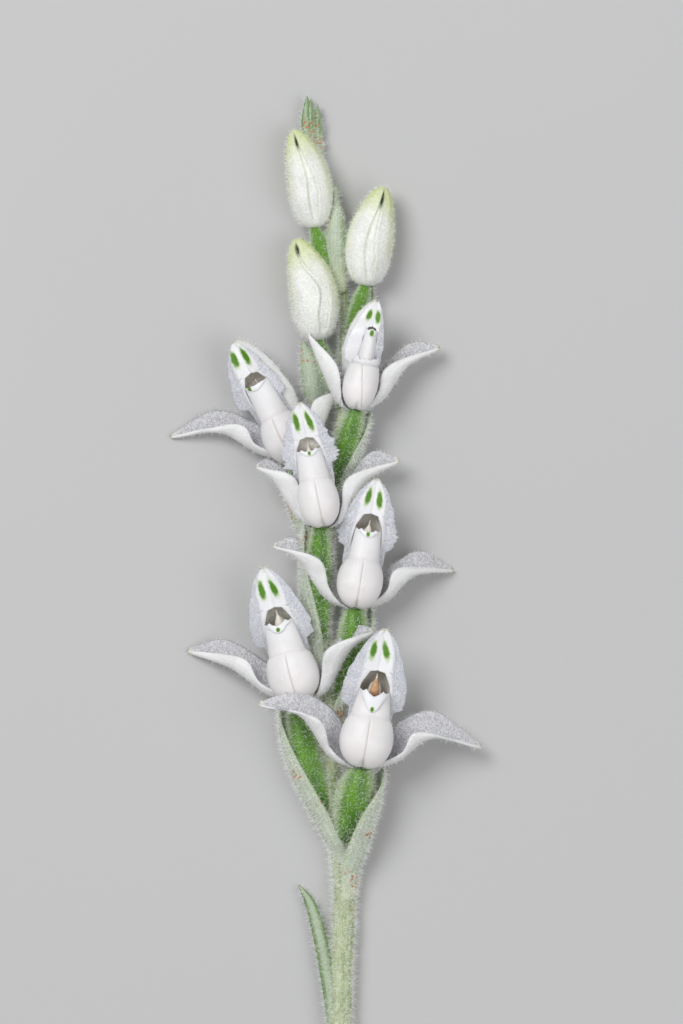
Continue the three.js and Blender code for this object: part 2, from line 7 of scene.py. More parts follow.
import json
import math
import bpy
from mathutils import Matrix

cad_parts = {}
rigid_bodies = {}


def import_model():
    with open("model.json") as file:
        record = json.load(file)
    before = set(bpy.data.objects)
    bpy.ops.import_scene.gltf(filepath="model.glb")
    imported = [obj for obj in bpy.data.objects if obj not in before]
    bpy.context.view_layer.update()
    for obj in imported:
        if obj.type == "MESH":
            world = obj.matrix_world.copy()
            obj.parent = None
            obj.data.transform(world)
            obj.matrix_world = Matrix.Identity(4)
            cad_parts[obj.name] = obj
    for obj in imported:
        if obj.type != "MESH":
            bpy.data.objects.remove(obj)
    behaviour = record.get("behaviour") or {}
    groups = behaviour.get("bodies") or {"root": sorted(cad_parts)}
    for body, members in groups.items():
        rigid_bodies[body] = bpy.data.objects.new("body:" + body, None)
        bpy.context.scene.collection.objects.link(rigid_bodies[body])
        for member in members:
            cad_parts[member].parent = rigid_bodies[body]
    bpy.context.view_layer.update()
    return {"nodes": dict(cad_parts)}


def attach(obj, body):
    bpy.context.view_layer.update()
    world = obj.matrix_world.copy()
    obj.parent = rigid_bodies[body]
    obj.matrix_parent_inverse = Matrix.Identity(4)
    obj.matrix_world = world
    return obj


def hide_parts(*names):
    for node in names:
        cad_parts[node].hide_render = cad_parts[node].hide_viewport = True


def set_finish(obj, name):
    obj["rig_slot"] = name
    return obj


bl_info = {
    "name": "Jewel Orchid Spike",
    "version": (1, 0, 0),
    "blender": (4, 5, 0),
    "location": "View3D > Sidebar > Orchid",
    "description": "Builds a cut jewel orchid flower spike and the surface it lies on",
    "category": "Add Mesh",
}

import bpy
import numpy as np
from bpy.props import FloatProperty, FloatVectorProperty, IntProperty, PointerProperty
from bpy.types import NodeSocket, Operator, Panel, PropertyGroup

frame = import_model()

MM = 0.001
BODY = "root"
HANDS = ((-1, "left"), (1, "right"))
WHITE = (1.0, 1.0, 1.0, 1.0)

# How finely each piece is drawn: rows along it, and columns across it or sides round it

PETAL_GRID = (130, 17)
DORSAL_GRID = (56, 20)
LATERAL_GRID = (64, 22)
LIP_ROWS = 66
LIP_INNER_ROWS = 14
LIP_SIDES = 80
TONGUE_GRID = (24, 22)
COLLAR_GRID = (14, 70)
COLUMN_GRID = (30, 18)
BEAK_GRID = (14, 10)
ANTHER_GRID = (24, 18)
OVARY_GRID = (50, 48)
BRACT_GRID = (52, 44)
BLADE_GRID = (50, 26)
BUD_GRID = (84, 100)
YOUNG_GRID = (40, 28)
STEM_POINTS = 280
STEM_SIDES = 40

# What is added to a flower's own seed for each kind of piece

PETAL_SEED = 10
DORSAL_SEED = 20
LATERAL_SEED = 30
COLLAR_SEED = 40

# The stem's route and radii, from the cut end to the youngest bracts, and its ridges, then how low a sheet
# and a hair may lie, and how soft and how high the bend is where a sheet comes to rest

STEM_ROUTE = [
    (-0.2, 0, 0.65), (-0.12, 7.5, 0.65), (0.06, 14.8, 0.65), (-0.72, 19.6, 0.65), (-0.74, 24.2, 0.65),
    (-1.28, 28.6, 0.62), (-1.36, 32, 0.58), (-1.0, 35.5, 0.54), (-0.4, 39, 0.5), (0.05, 42.4, 0.5),
    (0.25, 45.6, 0.5), (0.15, 48.5, 0.5), (-0.15, 50.6, 0.5), (-0.66, 53.6, 0.5), (-1.4, 57.4, 0.5),
]
STEM_RADII = [0.65, 0.65, 0.65, 0.64, 0.6, 0.56, 0.5, 0.44, 0.38, 0.32, 0.24]
RIDGE_HEIGHT = 0.09
RIDGES_PER_METRE = 2600.0
LOWEST_SHEET = 0.09
LOWEST_HAIR = 0.002
REST_SOFTNESS = 0.03
REST_REACH = 0.3

# Shapes that every flower shares, with the flower's foot at the origin. A set of three numbers that is
# passed on to hump holds a rounded bump's middle, the distance over which it fades, and its height

# The lip: its wall from its foot to its brim, what each flower's own sizes are measured against, and the
# fine lines on it. A line's shade is how much of the line's colour it takes; in the groove, the crease and
# the dimple rings that darkening is painted shade, in the veins it is their own colour

LIP_RISE = [-0.06, 0.1, 0.55, 1.2, 1.9, 2.55, 3.15, 3.8, 4.45]
LIP_HALF_WIDTH = [0.3, 0.8, 1.3, 1.57, 1.57, 1.36, 1.2, 1.1, 1.0]
LIP_FRONT = [1.35, 1.86, 2.32, 2.56, 2.54, 2.34, 2.16, 2.12, 2.2]
LIP_MIDDLE = [1.2, 1.2, 1.2, 1.2, 1.2, 1.25, 1.3, 1.3, 1.3]
LIP_BACK = [1.05, 0.6, 0.15, -0.05, 0.0, 0.45, 1.35, 1.75, 1.95]
LIP_INNER_REACH = (0.985, 0.45)
SAC_TOP = 3.15
SHOULDER = 2.75
CREASE_RISE = SHOULDER + 0.06
BRIM_TOP = 4.45
BRIM_POINTS = 0.12
BRIM_CORNERS = 0.12
NECK_HALF_WIDTH = 0.97
TAPER_BELOW = 0.1
TAPER_ABOVE = 0.25
SAC_BULGE = (SHOULDER - 0.32, 0.26, 0.025)
NECK_CREASE = (CREASE_RISE, 0.15, 0.045)
FOOT_CLEFT = (0, 0.18, 0.18)
GROOVE = dict(half_width=0.045, depth=0.07, shade=0.8, hinge=2.2)
CREASE = dict(half_width=0.06, depth=0.025, shade=0.2)
VEIN = dict(half_width=0.035, height=0.006, shade=0.13)
VEIN_PLACES = (0.3, 0.62, 0.9, 1.15)
VEIN_SPREAD = [(0, 0.9), (1.5, 1.0), (3.0, 0.75), (5.0, 0.62)]
DIMPLE = dict(radius=0.13, ring=0.04, pit=0.05, shade=0.14)
LONGEST_BRIGHT_TONGUE = 0.9
NECK_BRIGHTNESS = 0.8

# The lip's tongue, folded down over its neck, with the usual size of its dot, and the frill of one lip

TONGUE_SHAPE = [0.96, 0.78, 0.58, 0.38, 0.12]
TONGUE_LENGTH = 0.95
TONGUE_THICKNESS = 0.08
TONGUE_CLEARANCE = 0.03
TONGUE_ARCH = 0.04
NECK_MIDDLE = 1.3
NECK_DEPTH = 0.87
DOT_SIZE = (0.12, 0.16)
DOT_MARGIN = 0.04
NO_SPOT = 3.0
COLLAR_SPAN = 0.97
COLLAR_HALF_WIDTH = (1.3, 1.24)
COLLAR_MIDDLE = 1.26
COLLAR_DEPTH = 1.02
COLLAR_FOOT = 0.55
COLLAR_TOOTH = 0.24
COLLAR_FLUTE = 0.016
COLLAR_THICKNESS = 0.06
COLLAR_BRIGHTNESS = 0.5

# The hood: its two petals, with the mouth and the lobes at the heights that the tables are written for

HOOD_FOOT = 0.7
HOOD_TOP = 8.3
CLAW_OUTER = [(0.7, 0.85), (2.0, 1.1), (2.9, 1.32), (8.3, 1.4)]
BLADE_OUTER = [
    (3.3, 1.9), (4.8, 1.98), (5.7, 1.74), (6.6, 1.4), (7.3, 1.07), (7.8, 0.76), (8.15, 0.4), (8.3, 0.16),
]
BLADE_ONSET = 0.3
BLADE_LEAD = 0.05
LOBE_FOOT = 3.5
MOUTH_TOP = 5.8
PETAL_INNER = [
    (0.7, 0.5), (2.0, 0.72), (3.0, 0.86), (4.5, 0.92), (5.0, 0.84), (5.45, 0.6), (5.78, 0.42), (5.84, -0.05),
    (8.9, -0.05),
]
PETAL_OUT = [(0.7, 0.0), (2.0, 0.25), (3.2, 0.75), (4.4, 1.25), (5.6, 1.62), (7.0, 1.75), (8.3, 1.72)]
PETAL_RIDGE = 0.7
PETAL_FLANK_SLOPE = 0.25
PETAL_LEAST_WIDTH = 0.05
PETAL_PUCKER = 0.02
PETAL_TIP_TINT = 0.5
# How far a petal's wing is darkened towards its torn outer edge: painted shade
PETAL_MARGIN_SHADING = 0.28
PLATE_RIDGE = 0.07
PLATE_RIDGE_WIDTH = 0.12
PLATE_CUP = 0.1
PLATE_EDGE = [(0.7, 0.7), (3.0, 1.0), (4.8, 0.98), (5.8, 0.78), (7.0, 0.74), (7.8, 0.42), (8.3, 0.1)]
JAG_SHARE = [(0.7, 0.02), (3.2, 0.1), (3.7, 1.3), (5.2, 0.9), (6.2, 0.5), (7.4, 0.28), (8.3, 0.1)]

# The sepals. Hairs stand closer at a sheet's edge, by the fringe

EDGE_FRINGE = 2.2
FRINGE_FROM = 0.8
DORSAL_TOP = 8.42
DORSAL_HALF_WIDTH = [(0.7, 0.5), (2.2, 0.98), (4.2, 1.35), (6.0, 1.2), (7.2, 0.9), (8.0, 0.5), (8.42, 0.12)]
DORSAL_EDGE_OUT = [(0.7, -0.25), (2.2, 0.0), (4.2, 0.72), (6.0, 1.2), (7.2, 1.4), (8.42, 1.5)]
DORSAL_KEEL_OUT = [(0.7, -0.55), (2.2, -0.8), (4.2, -0.7), (6.0, -0.1), (7.2, 0.6), (8.0, 1.1), (8.42, 1.4)]
DORSAL_PUCKER = 0.02
ROLL_LIFT = 0.25
ROLL_DROP = 0.75
SEPAL_WAVE = 0.05
SEPAL_VEIN_HEIGHT = 0.012
SEPAL_VEIN_COUNT = 7

# The column with its beak, arms and anther

COLUMN_ROUTE = [
    (0, -0.5, -0.1), (0, 1.0, -0.42), (0, 2.8, -0.3), (0, 4.2, 0.4), (0, 4.9, 0.85), (0, 5.3, 1.0),
]
COLUMN_RADII = [0.3, 0.27, 0.3, 0.42, 0.36, 0.1]
BEAK_ROUTE = [(0, 4.7, 0.9), (0, 5.2, 1.15), (0, 5.72, 1.3)]
BEAK_RADII = (0.13, 0.012)
ARM_ROUTE = [(0.03, 5.3, 1.16), (0.24, 4.85, 1.24), (0.38, 4.25, 1.1)]
ARM_RADIUS = 0.055
ANTHER_ROUTE = [(0, 4.15, 1.05), (0, 4.75, 1.22), (0, 5.42, 1.24)]
ANTHER_RADIUS = 0.3
ANTHER_FLATNESS = 0.7
ANTHER_CREASE = (math.pi / 2, 0.18, 0.12)

# Ovaries and bracts

OVARY_SHAPE = [0.36, 0.58, 0.86, 1, 0.98, 0.86, 0.6]
RIB_COUNT = 6
RIB_TWIST = 2.2
RIB_HEIGHT = 0.028
BRACT_SHAPE = [0.56, 0.75, 0.93, 1, 0.99, 0.93]
BRACT_SPREAD = [125, 112, 95, 74, 48, 8]
BRACT_DESCENT = 1.8
BRACT_HUG = 0.93
BRACT_VEIN_COUNT = 11
BRACT_VEIN_HEIGHT = 0.014
BRACT_WAVE = 0.03
BLADE_VEIN_COUNT = 7
BLADE_VEIN_HEIGHT = 0.01
BLADE_ARCH = 0.6
BLADE_GREEN = 0.4

# foot, tilt and turn place a flower, and size scales it.
# Its hood: spread is the width of its left and right half, and wings, backs and plates are that of the
# petals, of the sepal behind them and of the smooth plates where it differs. lobe and mouth are the heights
# at which the torn lobes begin and the mouth ends, torn is how deep the lobes are cut, opening narrows the
# mouth, shallow brings the back forward, and spots are the two green marks, each from its top to its foot.
# Its lip: sac is the width and height of the sac, neck the half width above it, slope how much lower the
# sac narrows, hang how far it leans to one side, brim the height and half width of the opening, dip the
# depth of its notch, points the height of the points beside that, tongue the length of the tongue, dot and
# dot_size the place and size of the mark on it, collar the height of the frill, and dimples the places of
# the small rings on the sac.

FLOWERS = [
    dict(
        name="flower_1", foot=(1.08, 21.48, 2.5), tilt=-9.5, turn=2, size=1, anther="tan",
        spread=(1, 1), lobe=3.5, torn=0.5, mouth=5.8, shallow=0.25,
        sac=(1.01, 1.07), brim=(4.56, 0.93), tongue=1.0, dip=0.3,
        spots=(((-0.45, 7.62), (-0.53, 6.47)), ((0.06, 7.7), (0.48, 6.52))), dimples=(),
        ovary=dict(base=(-0.1, 16.6, 0.8), bow=(0.1, 0, 0.2), lean=0, radius=1.16),
        bract=dict(base=(0.12, 15.3, 0.75), towards=-20, radius=1.52),
        left=dict(tip=(6.15, 3.66, 1.0), knee=(3.6, 3.05, 1.5), rise=1.45, fold=(-1.0, -0.15), swell=0.77),
        right=dict(tip=(7.28, 1.05, -1.1), knee=(4.22, 1.72, 0.4), rise=1.6, fold=(-0.8, 0.36), swell=0.77),
    ),
    dict(
        name="flower_2", foot=(-2.36, 25.52, 1.3), tilt=15, turn=-10, size=0.985, anther="pale",
        spread=(1, 0.97), lobe=3.6, torn=0.6, mouth=5.8, shallow=0.8,
        sac=(1.0, 1.05), neck=0.93, slope=0.2, brim=(4.88, 0.93), tongue=0.42, dip=0.2,
        spots=(((-0.44, 7.68), (-0.46, 6.43)), ((0.18, 7.62), (0.42, 6.39))),
        dimples=((-0.72, 1.5), (-0.42, 1.56), (0.32, 1.42), (0.62, 1.5)),
        ovary=dict(base=(-0.72, 18.2, 0.75), bow=(-0.4, 0, 0.1), lean=-0.4, radius=1.0),
        bract=dict(base=(0.25, 15.9, 0.7), towards=200, radius=1.2),
        left=dict(tip=(6.98, 2.8, -1.15), knee=(4.4, 1.91, 0.2), rise=1.63, fold=(-0.75, 0.55), swell=0.6),
        right=dict(tip=(4.22, 4.0, 1.5), knee=(2.76, 2.95, 1.6), rise=1.4, fold=(-1.3, 0.1), swell=0.62),
    ),
    dict(
        name="flower_3", foot=(0.71, 31.02, 1.9), tilt=-9.4, turn=2, size=0.93, anther="pale",
        spread=(1, 1), lobe=3.85, torn=1.1, mouth=6.05, shallow=0.2,
        sac=(0.93, 1.1), neck=0.82, slope=0.6, brim=(5.0, 0.84), tongue=0.32, dip=0.12,
        spots=(((-0.3, 7.8), (-0.44, 6.6)), ((0.3, 7.68), (0.48, 6.5))),
        dimples=((-0.86, 1.3), (-0.55, 1.36), (0.12, 1.38), (0.42, 1.34)),
        ovary=dict(base=(-0.4, 25.2, 0.75), bow=(0.35, 0, -0.05), lean=0, radius=1.0),
        bract=dict(towards=-25, radius=1.14),
        left=dict(tip=(4.92, 3.6, 0.9), knee=(3.4, 2.9, 1.05), rise=1.3, fold=(-1.25, 0), swell=0.72),
        right=dict(tip=(5.94, 2.14, -1.75), knee=(3.6, 1.92, 0.0), rise=1.45, fold=(-1.0, 0.43), swell=0.64),
    ),
    dict(
        name="flower_4", foot=(-1.14, 35.88, 2.9), tilt=11, turn=-1, size=0.895, anther="pale",
        spread=(1, 1), lobe=4.1, torn=1.3, mouth=5.98, shallow=1.1,
        sac=(0.86, 1.12), neck=0.84, slope=0.6, brim=(5.15, 0.86), tongue=0.3, dip=0.1,
        dot_size=(0.11, 0.18),
        spots=(((-0.5, 7.82), (-0.42, 6.5)), ((0.24, 7.8), (0.58, 6.4))), dimples=(),
        ovary=dict(base=(-1.3, 28.4, 0.8), bow=(-0.15, 0, -0.3), lean=-0.2, radius=0.9),
        bract=dict(towards=195, radius=1.05),
        left=dict(tip=(4.08, 3.48, 0.0), knee=(2.98, 2.74, 0.3), rise=1.22, fold=(-1.2, 0.2), swell=0.65),
        right=dict(tip=(4.54, 3.84, -0.7), knee=(2.61, 2.75, -0.5), rise=1.7, fold=(-1.15, 0.2), swell=0.57),
    ),
    dict(
        name="flower_5", foot=(-2.43, 39.9, 0.9), tilt=27.5, turn=-14, size=0.97, anther="pale",
        spread=(1, 1), wings=(1, 0.74), backs=(1, 1.24), lobe=4.2, torn=0.6, mouth=6.1, shallow=0.8,
        sac=(0.9, 1.1), neck=0.78, slope=0.7, brim=(5.42, 0.82), tongue=0.34, dip=0.05, points=0,
        dot=-0.38, dot_size=(0.13, 0.2),
        spots=(((-0.4, 7.92), (-0.54, 6.77)), ((0.22, 7.86), (0.3, 6.62))), dimples=(),
        ovary=dict(base=(-1.2, 34.0, 0.62), bow=(-0.2, 0, 0.1), lean=-0.4, radius=0.8),
        bract=dict(towards=200, radius=0.98),
        left=dict(tip=(7.95, 1.26, -0.75), knee=(4.95, 1.6, 0.1), rise=1.32, fold=(-1.1, 0.48), swell=0.69),
        right=dict(tip=(2.07, 3.96, 0.6), knee=(1.42, 2.55, 0.5), rise=1.83, fold=(-0.8, 0.85), swell=0.61),
    ),
    dict(
        name="flower_6", foot=(0.68, 42.9, 2.1), tilt=-11.5, turn=4, size=0.788, anther="pale",
        spread=(1, 0.6), wings=(0.86, 0.6), backs=(1.42, 0.62), plates=(2.6, 1), lobe=3.4, torn=0.4,
        mouth=6.32, opening=0.64, shallow=0.5,
        sac=(0.84, 1.28), neck=0.5, slope=-0.22, hang=-0.19, brim=(6.08, 0.5), tongue=0.68, dip=-0.12,
        points=0, dot_size=(0.15, 0.27), collar=0.24,
        spots=(((-0.32, 7.65), (-0.52, 6.76)), ((0.2, 7.68), (0.32, 6.64))), dimples=(),
        ovary=dict(base=(-0.3, 38.0, 0.75), bow=(-0.1, 0, 0), lean=0.1, radius=0.86),
        bract=dict(towards=-25, radius=1.0),
        left=dict(tip=(2.78, 4.44, 0.3), knee=(2.0, 2.5, 0.5), rise=1.35, fold=(-0.9, 0.2), swell=0.7),
        right=dict(tip=(5.14, 3.6, -0.8), knee=(3.16, 2.58, 0.0), rise=1.38, fold=(-1.15, 0), swell=0.6),
    ),
]

# seam is where the sepals' edges meet on a bud: degrees round it, from its foot to its tip. slit is the
# opening near the tip: its place along the bud and round it, and how far it reaches each way. A bract that
# clasps its ovary is given as bract, and one that stands free as blade

BUDS = [
    dict(
        name="bud_1", foot=(-1.56, 47.0, 1.45), tip=(-2.82, 53.1, 1.6), bow=0.4, radius=1.43,
        seam=(66, 70, 64, 98, 110), slit=(0.9, 103, 0.05, 9),
        ovary=dict(base=(-0.1, 43.0, 0.75), bow=(0, 0, 0), lean=0, radius=0.62),
        blade=dict(
            route=[(-1.2, 42.4, 0.6), (-1.75, 44.0, 1.2), (-1.9, 45.4, 1.5), (-2.4, 46.9, 1.4)],
            half_widths=[0.25, 0.6, 0.68, 0.6, 0.12],
        ),
    ),
    dict(
        name="bud_2", foot=(1.32, 50.28, 1.4), tip=(2.46, 56.22, 1.7), bow=-0.24, radius=1.4,
        seam=(74, 84, 88, 84, 80), slit=(0.875, 80, 0.075, 6),
        ovary=dict(base=(0.2, 46.6, 0.7), bow=(0.05, 0, 0), lean=0, radius=0.62),
        bract=dict(towards=-60, radius=0.8),
    ),
    dict(
        name="bud_3", foot=(-1.74, 53.76, 1.35), tip=(-2.94, 59.64, 1.5), bow=0.28, radius=1.3,
        seam=(80, 84, 86, 92, 104), slit=(0.875, 98, 0.06, 6),
        ovary=dict(base=(-0.45, 50.2, 0.7), bow=(0, 0, 0), lean=0, radius=0.6),
        blade=dict(
            route=[(-0.1, 49.8, 1.1), (-0.45, 52.6, 1.75), (-0.4, 54.4, 1.6), (-0.48, 56.3, 1.15)],
            half_widths=[0.3, 0.72, 0.62, 0.32, 0.1],
        ),
    ),
]

STERILE_BRACT = dict(
    route=[
        (-0.45, 3.4, 0.8), (-0.62, 6.6, 1.0), (-0.98, 9.2, 0.9), (-1.4, 11.3, 0.75), (-1.95, 13.2, 0.6),
        (-2.64, 14.34, 0.45),
    ],
    half_widths=[0.34, 0.4, 0.42, 0.4, 0.3, 0.05], green=0.95,
)

YOUNG_BRACTS = [
    dict(route=[(-1.5, 57.0, 0.55), (-2.1, 59.4, 0.6), (-2.16, 61.68, 0.65)], radius=0.4),
    dict(route=[(-1.45, 57.0, 0.55), (-1.9, 59.4, 0.62), (-1.92, 61.5, 0.7)], radius=0.36),
    dict(route=[(-1.4, 57.0, 0.5), (-1.46, 59.2, 0.5), (-1.52, 61.17, 0.55)], radius=0.28),
]

# A bud's skin. Half the width of the smooth strip between two sepals, from foot to tip, the places of the
# other two seams after it, and the middle of the side that faces up are in degrees round the bud

STRIP_DEGREES = [9, 13, 10, 5, 2]
OTHER_SEAMS = (125, 235)
UPPER_SIDE = 95
STRIP_DEPTH = 0.1
STRIP_LIP = (5, 5, 0.05)
SEAM_SWELL = (9, 9, 0.035)
SEAM_DEPTH = (0, 3.2, 0.04)
SEAM_SHADE = (0, 4, 0.6)
BUD_RIPPLE = 0.012
SLIT_DEPTH = 0.12

# The young bracts' ridges

YOUNG_RIDGES = 5
YOUNG_RIDGE_HEIGHT = 0.05

# Colours that only tint others

# A painted highlight: the near-white glint put on a few glistening cells
GLINT = (0.98, 0.98, 1.0, 1.0)
# The painted shade that darkens a petal's wing towards its outer edge
PETAL_MARGIN_SHADE = (0.5, 0.51, 0.56, 1.0)
STEM_GRAIN = (0.7, 0.73, 0.64, 1.0)
BUD_GRAIN = (0.86, 0.87, 0.84, 1.0)

# Hairs: how much light they give off, how far one bows to its side, and the shortest and the longest as a
# share of the length that is set

HAIR_GLOW = 0.13
HAIR_BOW = 2.2
HAIR_LENGTH_SHARES = (0.45, 1.15)

# Stage. The middle and the height of the view are in millimetres on the spike and the sensor's height is in
# millimetres. The rest is in metres and watts, with each light's place counted from the middle of the view

VIEW_CENTRE = (-0.09, 36.72)
VIEW_HEIGHT = 61.44
CAMERA_HEIGHT = 1.0
CAMERA_RANGE = (0.01, 20)
SENSOR_HEIGHT = 36
FLOOR_HALF_WIDTH = 1.5
LIGHTS = [
    dict(name="key_light", place=(-0.16, 0.16, 0.34), size=0.22, power=1.02),
    dict(name="fill_light", place=(0.22, -0.06, 0.3), size=0.3, power=0.35),
]
ROOM_LIGHT = 0.39

# Distance between neighbouring nodes in the node editor

NODE_SPACING = 200


# Settings


def paint(red, green, blue):
    """A screen colour from 0 to 255 as the linear values that a shader takes."""
    shares = np.array([red, green, blue]) / 255
    return tuple(np.where(shares <= 0.04045, shares / 12.92, ((shares + 0.055) / 1.055) ** 2.4))


def colour(name, description, red, green, blue):
    return FloatVectorProperty(
        name=name, description=description, subtype="COLOR", size=3, min=0, max=1,
        default=paint(red, green, blue),
    )


def length(name, description, millimetres):
    return FloatProperty(
        name=name, description=description, default=millimetres * MM, min=0, unit="LENGTH", precision=5,
    )


def density(surface, hairs):
    return FloatProperty(
        name=f"{surface} Density", description=f"Hairs on a square mm of {surface.lower()}", default=hairs,
        min=0,
    )


class OrchidSizes(PropertyGroup):
    """Sizes of the flower parts."""

    petal_thickness: length("Petal Thickness", "Thickness in the middle of a petal", 0.11)
    sepal_thickness: length("Sepal Thickness", "Thickness in the middle of a sepal", 0.14)
    bract_thickness: length("Bract Thickness", "Thickness in the middle of a bract", 0.16)
    lip_wall: length("Lip Wall", "Thickness of the lip's wall", 0.12)
    jag_depth: length("Jag Depth", "How deep the torn edge of a petal is cut at its lobe", 0.28)
    jag_spacing: length("Jag Spacing", "Usual distance between two teeth of a petal's edge", 0.27)
    ripple: length("Ripple", "How far a petal's free edge waves in and out", 0.09)
    cell_size: length("Cell Size", "Width of the glistening cells of petals and sepals", 0.07)
    spot_half_width: length("Spot Half Width", "Half the width of a green spot", 0.205)


class OrchidHairs(PropertyGroup):
    """The hair on each kind of surface."""

    stem_length: length("Stem Hairs", "Length of the hairs on the stem", 0.54)
    bract_length: length("Bract Hairs", "Length of the hairs on the bracts", 0.46)
    ovary_length: length("Ovary Hairs", "Length of the hairs on the ovaries", 0.36)
    sepal_length: length("Sepal Hairs", "Length of the hairs on the sepals", 0.32)
    bud_length: length("Bud Hairs", "Length of the hairs on the buds", 0.3)
    thickness: length("Hair Thickness", "Width of a hair at its foot", 0.025)
    stem_density: density("Stem", 62)
    bract_density: density("Bract", 46)
    ovary_density: density("Ovary", 48)
    sepal_density: density("Sepal", 23)
    bud_density: density("Bud", 38)
    lean: FloatProperty(
        name="Lean", description="How far a hair leans away from upright", default=math.radians(42),
        subtype="ANGLE",
    )
    seed: IntProperty(name="Seed", description="Which scatter of hairs is used", default=7)


class OrchidColours(PropertyGroup):
    """Colours of the flower parts and of the surface below them."""

    petal_wing: colour("Petal Wing", "Glistening outer part of a petal", 234, 236, 245)
    petal_plate: colour("Petal Plate", "Smooth middle of the hood", 247, 247, 250)
    spot: colour("Spot", "Green spots on the hood and the tongue", 80, 134, 4)
    spot_rim: colour("Spot Rim", "Yellow-green rim of the spots", 160, 198, 66)
    sepal_inside: colour("Sepal Inside", "Glistening inner side of a sepal", 222, 222, 227)
    sepal_outside: colour("Sepal Outside", "Hairy outer side of a sepal", 238, 238, 238)
    sepal_tip: colour("Sepal Tip", "Tip of a sepal", 226, 224, 210)
    # Painted lighter than a sepal's own inside: painted light that lifts the shade of the hollow behind the
    # mouth
    mouth: colour("Mouth", "Inner side of the hood behind the mouth", 252, 247, 236)
    lip: colour("Lip", "Lip", 241, 238, 238)
    # The veins' own colour, also laid into the groove, the crease and the dimple rings as painted shade
    lip_vein_and_shade: colour("Lip Line", "Groove and veins of the lip", 196, 184, 172)
    column: colour("Column", "Column and its beak", 232, 226, 214)
    anther: colour("Anther", "Anther of the oldest flower", 208, 162, 122)
    ovary: colour("Ovary", "Ovary", 98, 148, 36)
    # Partly the ovary's own darker streaks, partly painted shade in the grooves between the ribs and towards
    # the foot
    ovary_shade: colour("Ovary Shade", "Darker streaks of the ovary", 54, 98, 20)
    # A painted sheen: the flanks, seen side-on under their white hairs, painted paler
    frost: colour("Flank Sheen", "Pale sheen on the flanks of ovaries", 188, 202, 168)
    bract: colour("Bract", "Bracts", 204, 212, 200)
    bract_vein: colour("Bract Vein", "Veins and edges of the bracts", 172, 188, 152)
    bract_green: colour("Bract Green", "Greener parts of the young and the free bracts", 104, 138, 76)
    speck: colour("Speck", "Small dry specks on the bracts and the stem", 184, 114, 58)
    stem: colour("Stem", "Stem", 204, 213, 180)
    stem_shade: colour("Stem Shade", "Darker streaks of the stem", 166, 179, 138)
    bud: colour("Bud", "Buds", 252, 253, 250)
    bud_flank: colour("Bud Flank", "Greenish flanks and tips of the buds", 218, 228, 166)
    # The green inside the opening, darkened as painted shade of the gap
    bud_slit: colour("Bud Slit", "Opening at a bud's tip", 30, 62, 16)
    hair: colour("Hair", "Hairs", 250, 251, 247)
    floor: colour("Floor", "Surface that the spike lies on", 194, 194, 195)


# Curves and profiles, each for whole arrays of places along them


def between(padded, i, t):
    """The smooth curve through padded, a share t of the way from its value i to the next."""
    p0, p1, p2, p3 = (padded[i + k] for k in range(4))
    return 0.5 * (
        2 * p1 + (p2 - p0) * t + (2 * p0 - 5 * p1 + 4 * p2 - p3) * t**2 + (3 * p1 - p0 - 3 * p2 + p3) * t**3
    )


def step_of(s, last):
    """Which of last equal steps each s from 0 to 1 falls in, and how far into it."""
    x = np.clip(s, 0, 1) * last
    i = np.clip(np.floor(x).astype(int), 0, last - 1)
    return i, x - i


def along(route, s):
    """Points of the smooth curve through route, at each s from 0 to 1."""
    route = np.asarray(route, float)
    padded = np.vstack([2 * route[0] - route[1], route, 2 * route[-1] - route[-2]])
    i, t = step_of(s, len(route) - 1)
    return between(padded, i, t[..., None])


def profile(values, s):
    """A smooth value at each s from evenly spaced ones."""
    padded = np.array([values[0], *values, values[-1]], float)
    i, t = step_of(s, len(values) - 1)
    return between(padded, i, t)


def lookup(pairs, x, blur=0.12):
    """A value at each x from (x, value) pairs, with its corners rounded over the distance blur."""
    edges, values = np.array(pairs, float).T
    taps = np.array([-1, -0.5, 0, 0.5, 1]) * blur
    return sum(np.interp(x + tap, edges, values) for tap in taps) / len(taps)


def smoothstep(x, low, high):
    """0 up to low and 1 from high on, with a soft step between them; the other way round if low is above."""
    t = np.clip((x - low) / (high - low), 0, 1)
    return t * t * (3 - 2 * t)


def mix(a, b, share):
    return a + (b - a) * share


def hump(x, middle, fade, height=1):
    """A rounded bump of that height, which fades over that distance to both sides of its middle."""
    return height * np.exp(-(((x - middle) / fade) ** 2))


def degrees_off(degrees, place):
    """How far round each angle is from place, from -180 to 180 degrees."""
    return (degrees - place + 180) % 360 - 180


def unit(vectors):
    return vectors / np.maximum(np.linalg.norm(vectors, axis=-1, keepdims=True), 1e-9)


def cross_axes(route, s):
    """The two directions across a curve: side lies level, lift points away from the surface below."""
    step = 0.002
    run = unit(along(route, np.minimum(s + step, 1)) - along(route, np.maximum(s - step, 0)))
    side = unit(np.cross(run, [0, 0, 1]))
    return side, np.cross(side, run)


def point(x, y, z):
    return np.stack(np.broadcast_arrays(x, y, z), axis=-1)


def placed(points, flower):
    """Points of one flower's own frame, put where the flower is on the spike."""
    turn, tilt = math.radians(flower["turn"]), math.radians(flower["tilt"])
    x, y, z = np.moveaxis(points, -1, 0)
    turned = x * math.cos(turn) + z * math.sin(turn)
    depth = z * math.cos(turn) - x * math.sin(turn)
    return point(
        turned * math.cos(tilt) - y * math.sin(tilt), turned * math.sin(tilt) + y * math.cos(tilt), depth,
    ) + flower["foot"]


def waver(x, scale, seed):
    """A smooth random value around 0 at each x, with swings about scale long."""
    count = 4
    rng = np.random.default_rng(seed)
    phases = rng.uniform(0, 2 * math.pi, count)
    pitches = rng.uniform(0.6, 1.6, count)
    return sum(np.sin(2 * math.pi * x / scale * p + phase) for p, phase in zip(pitches, phases)) / count


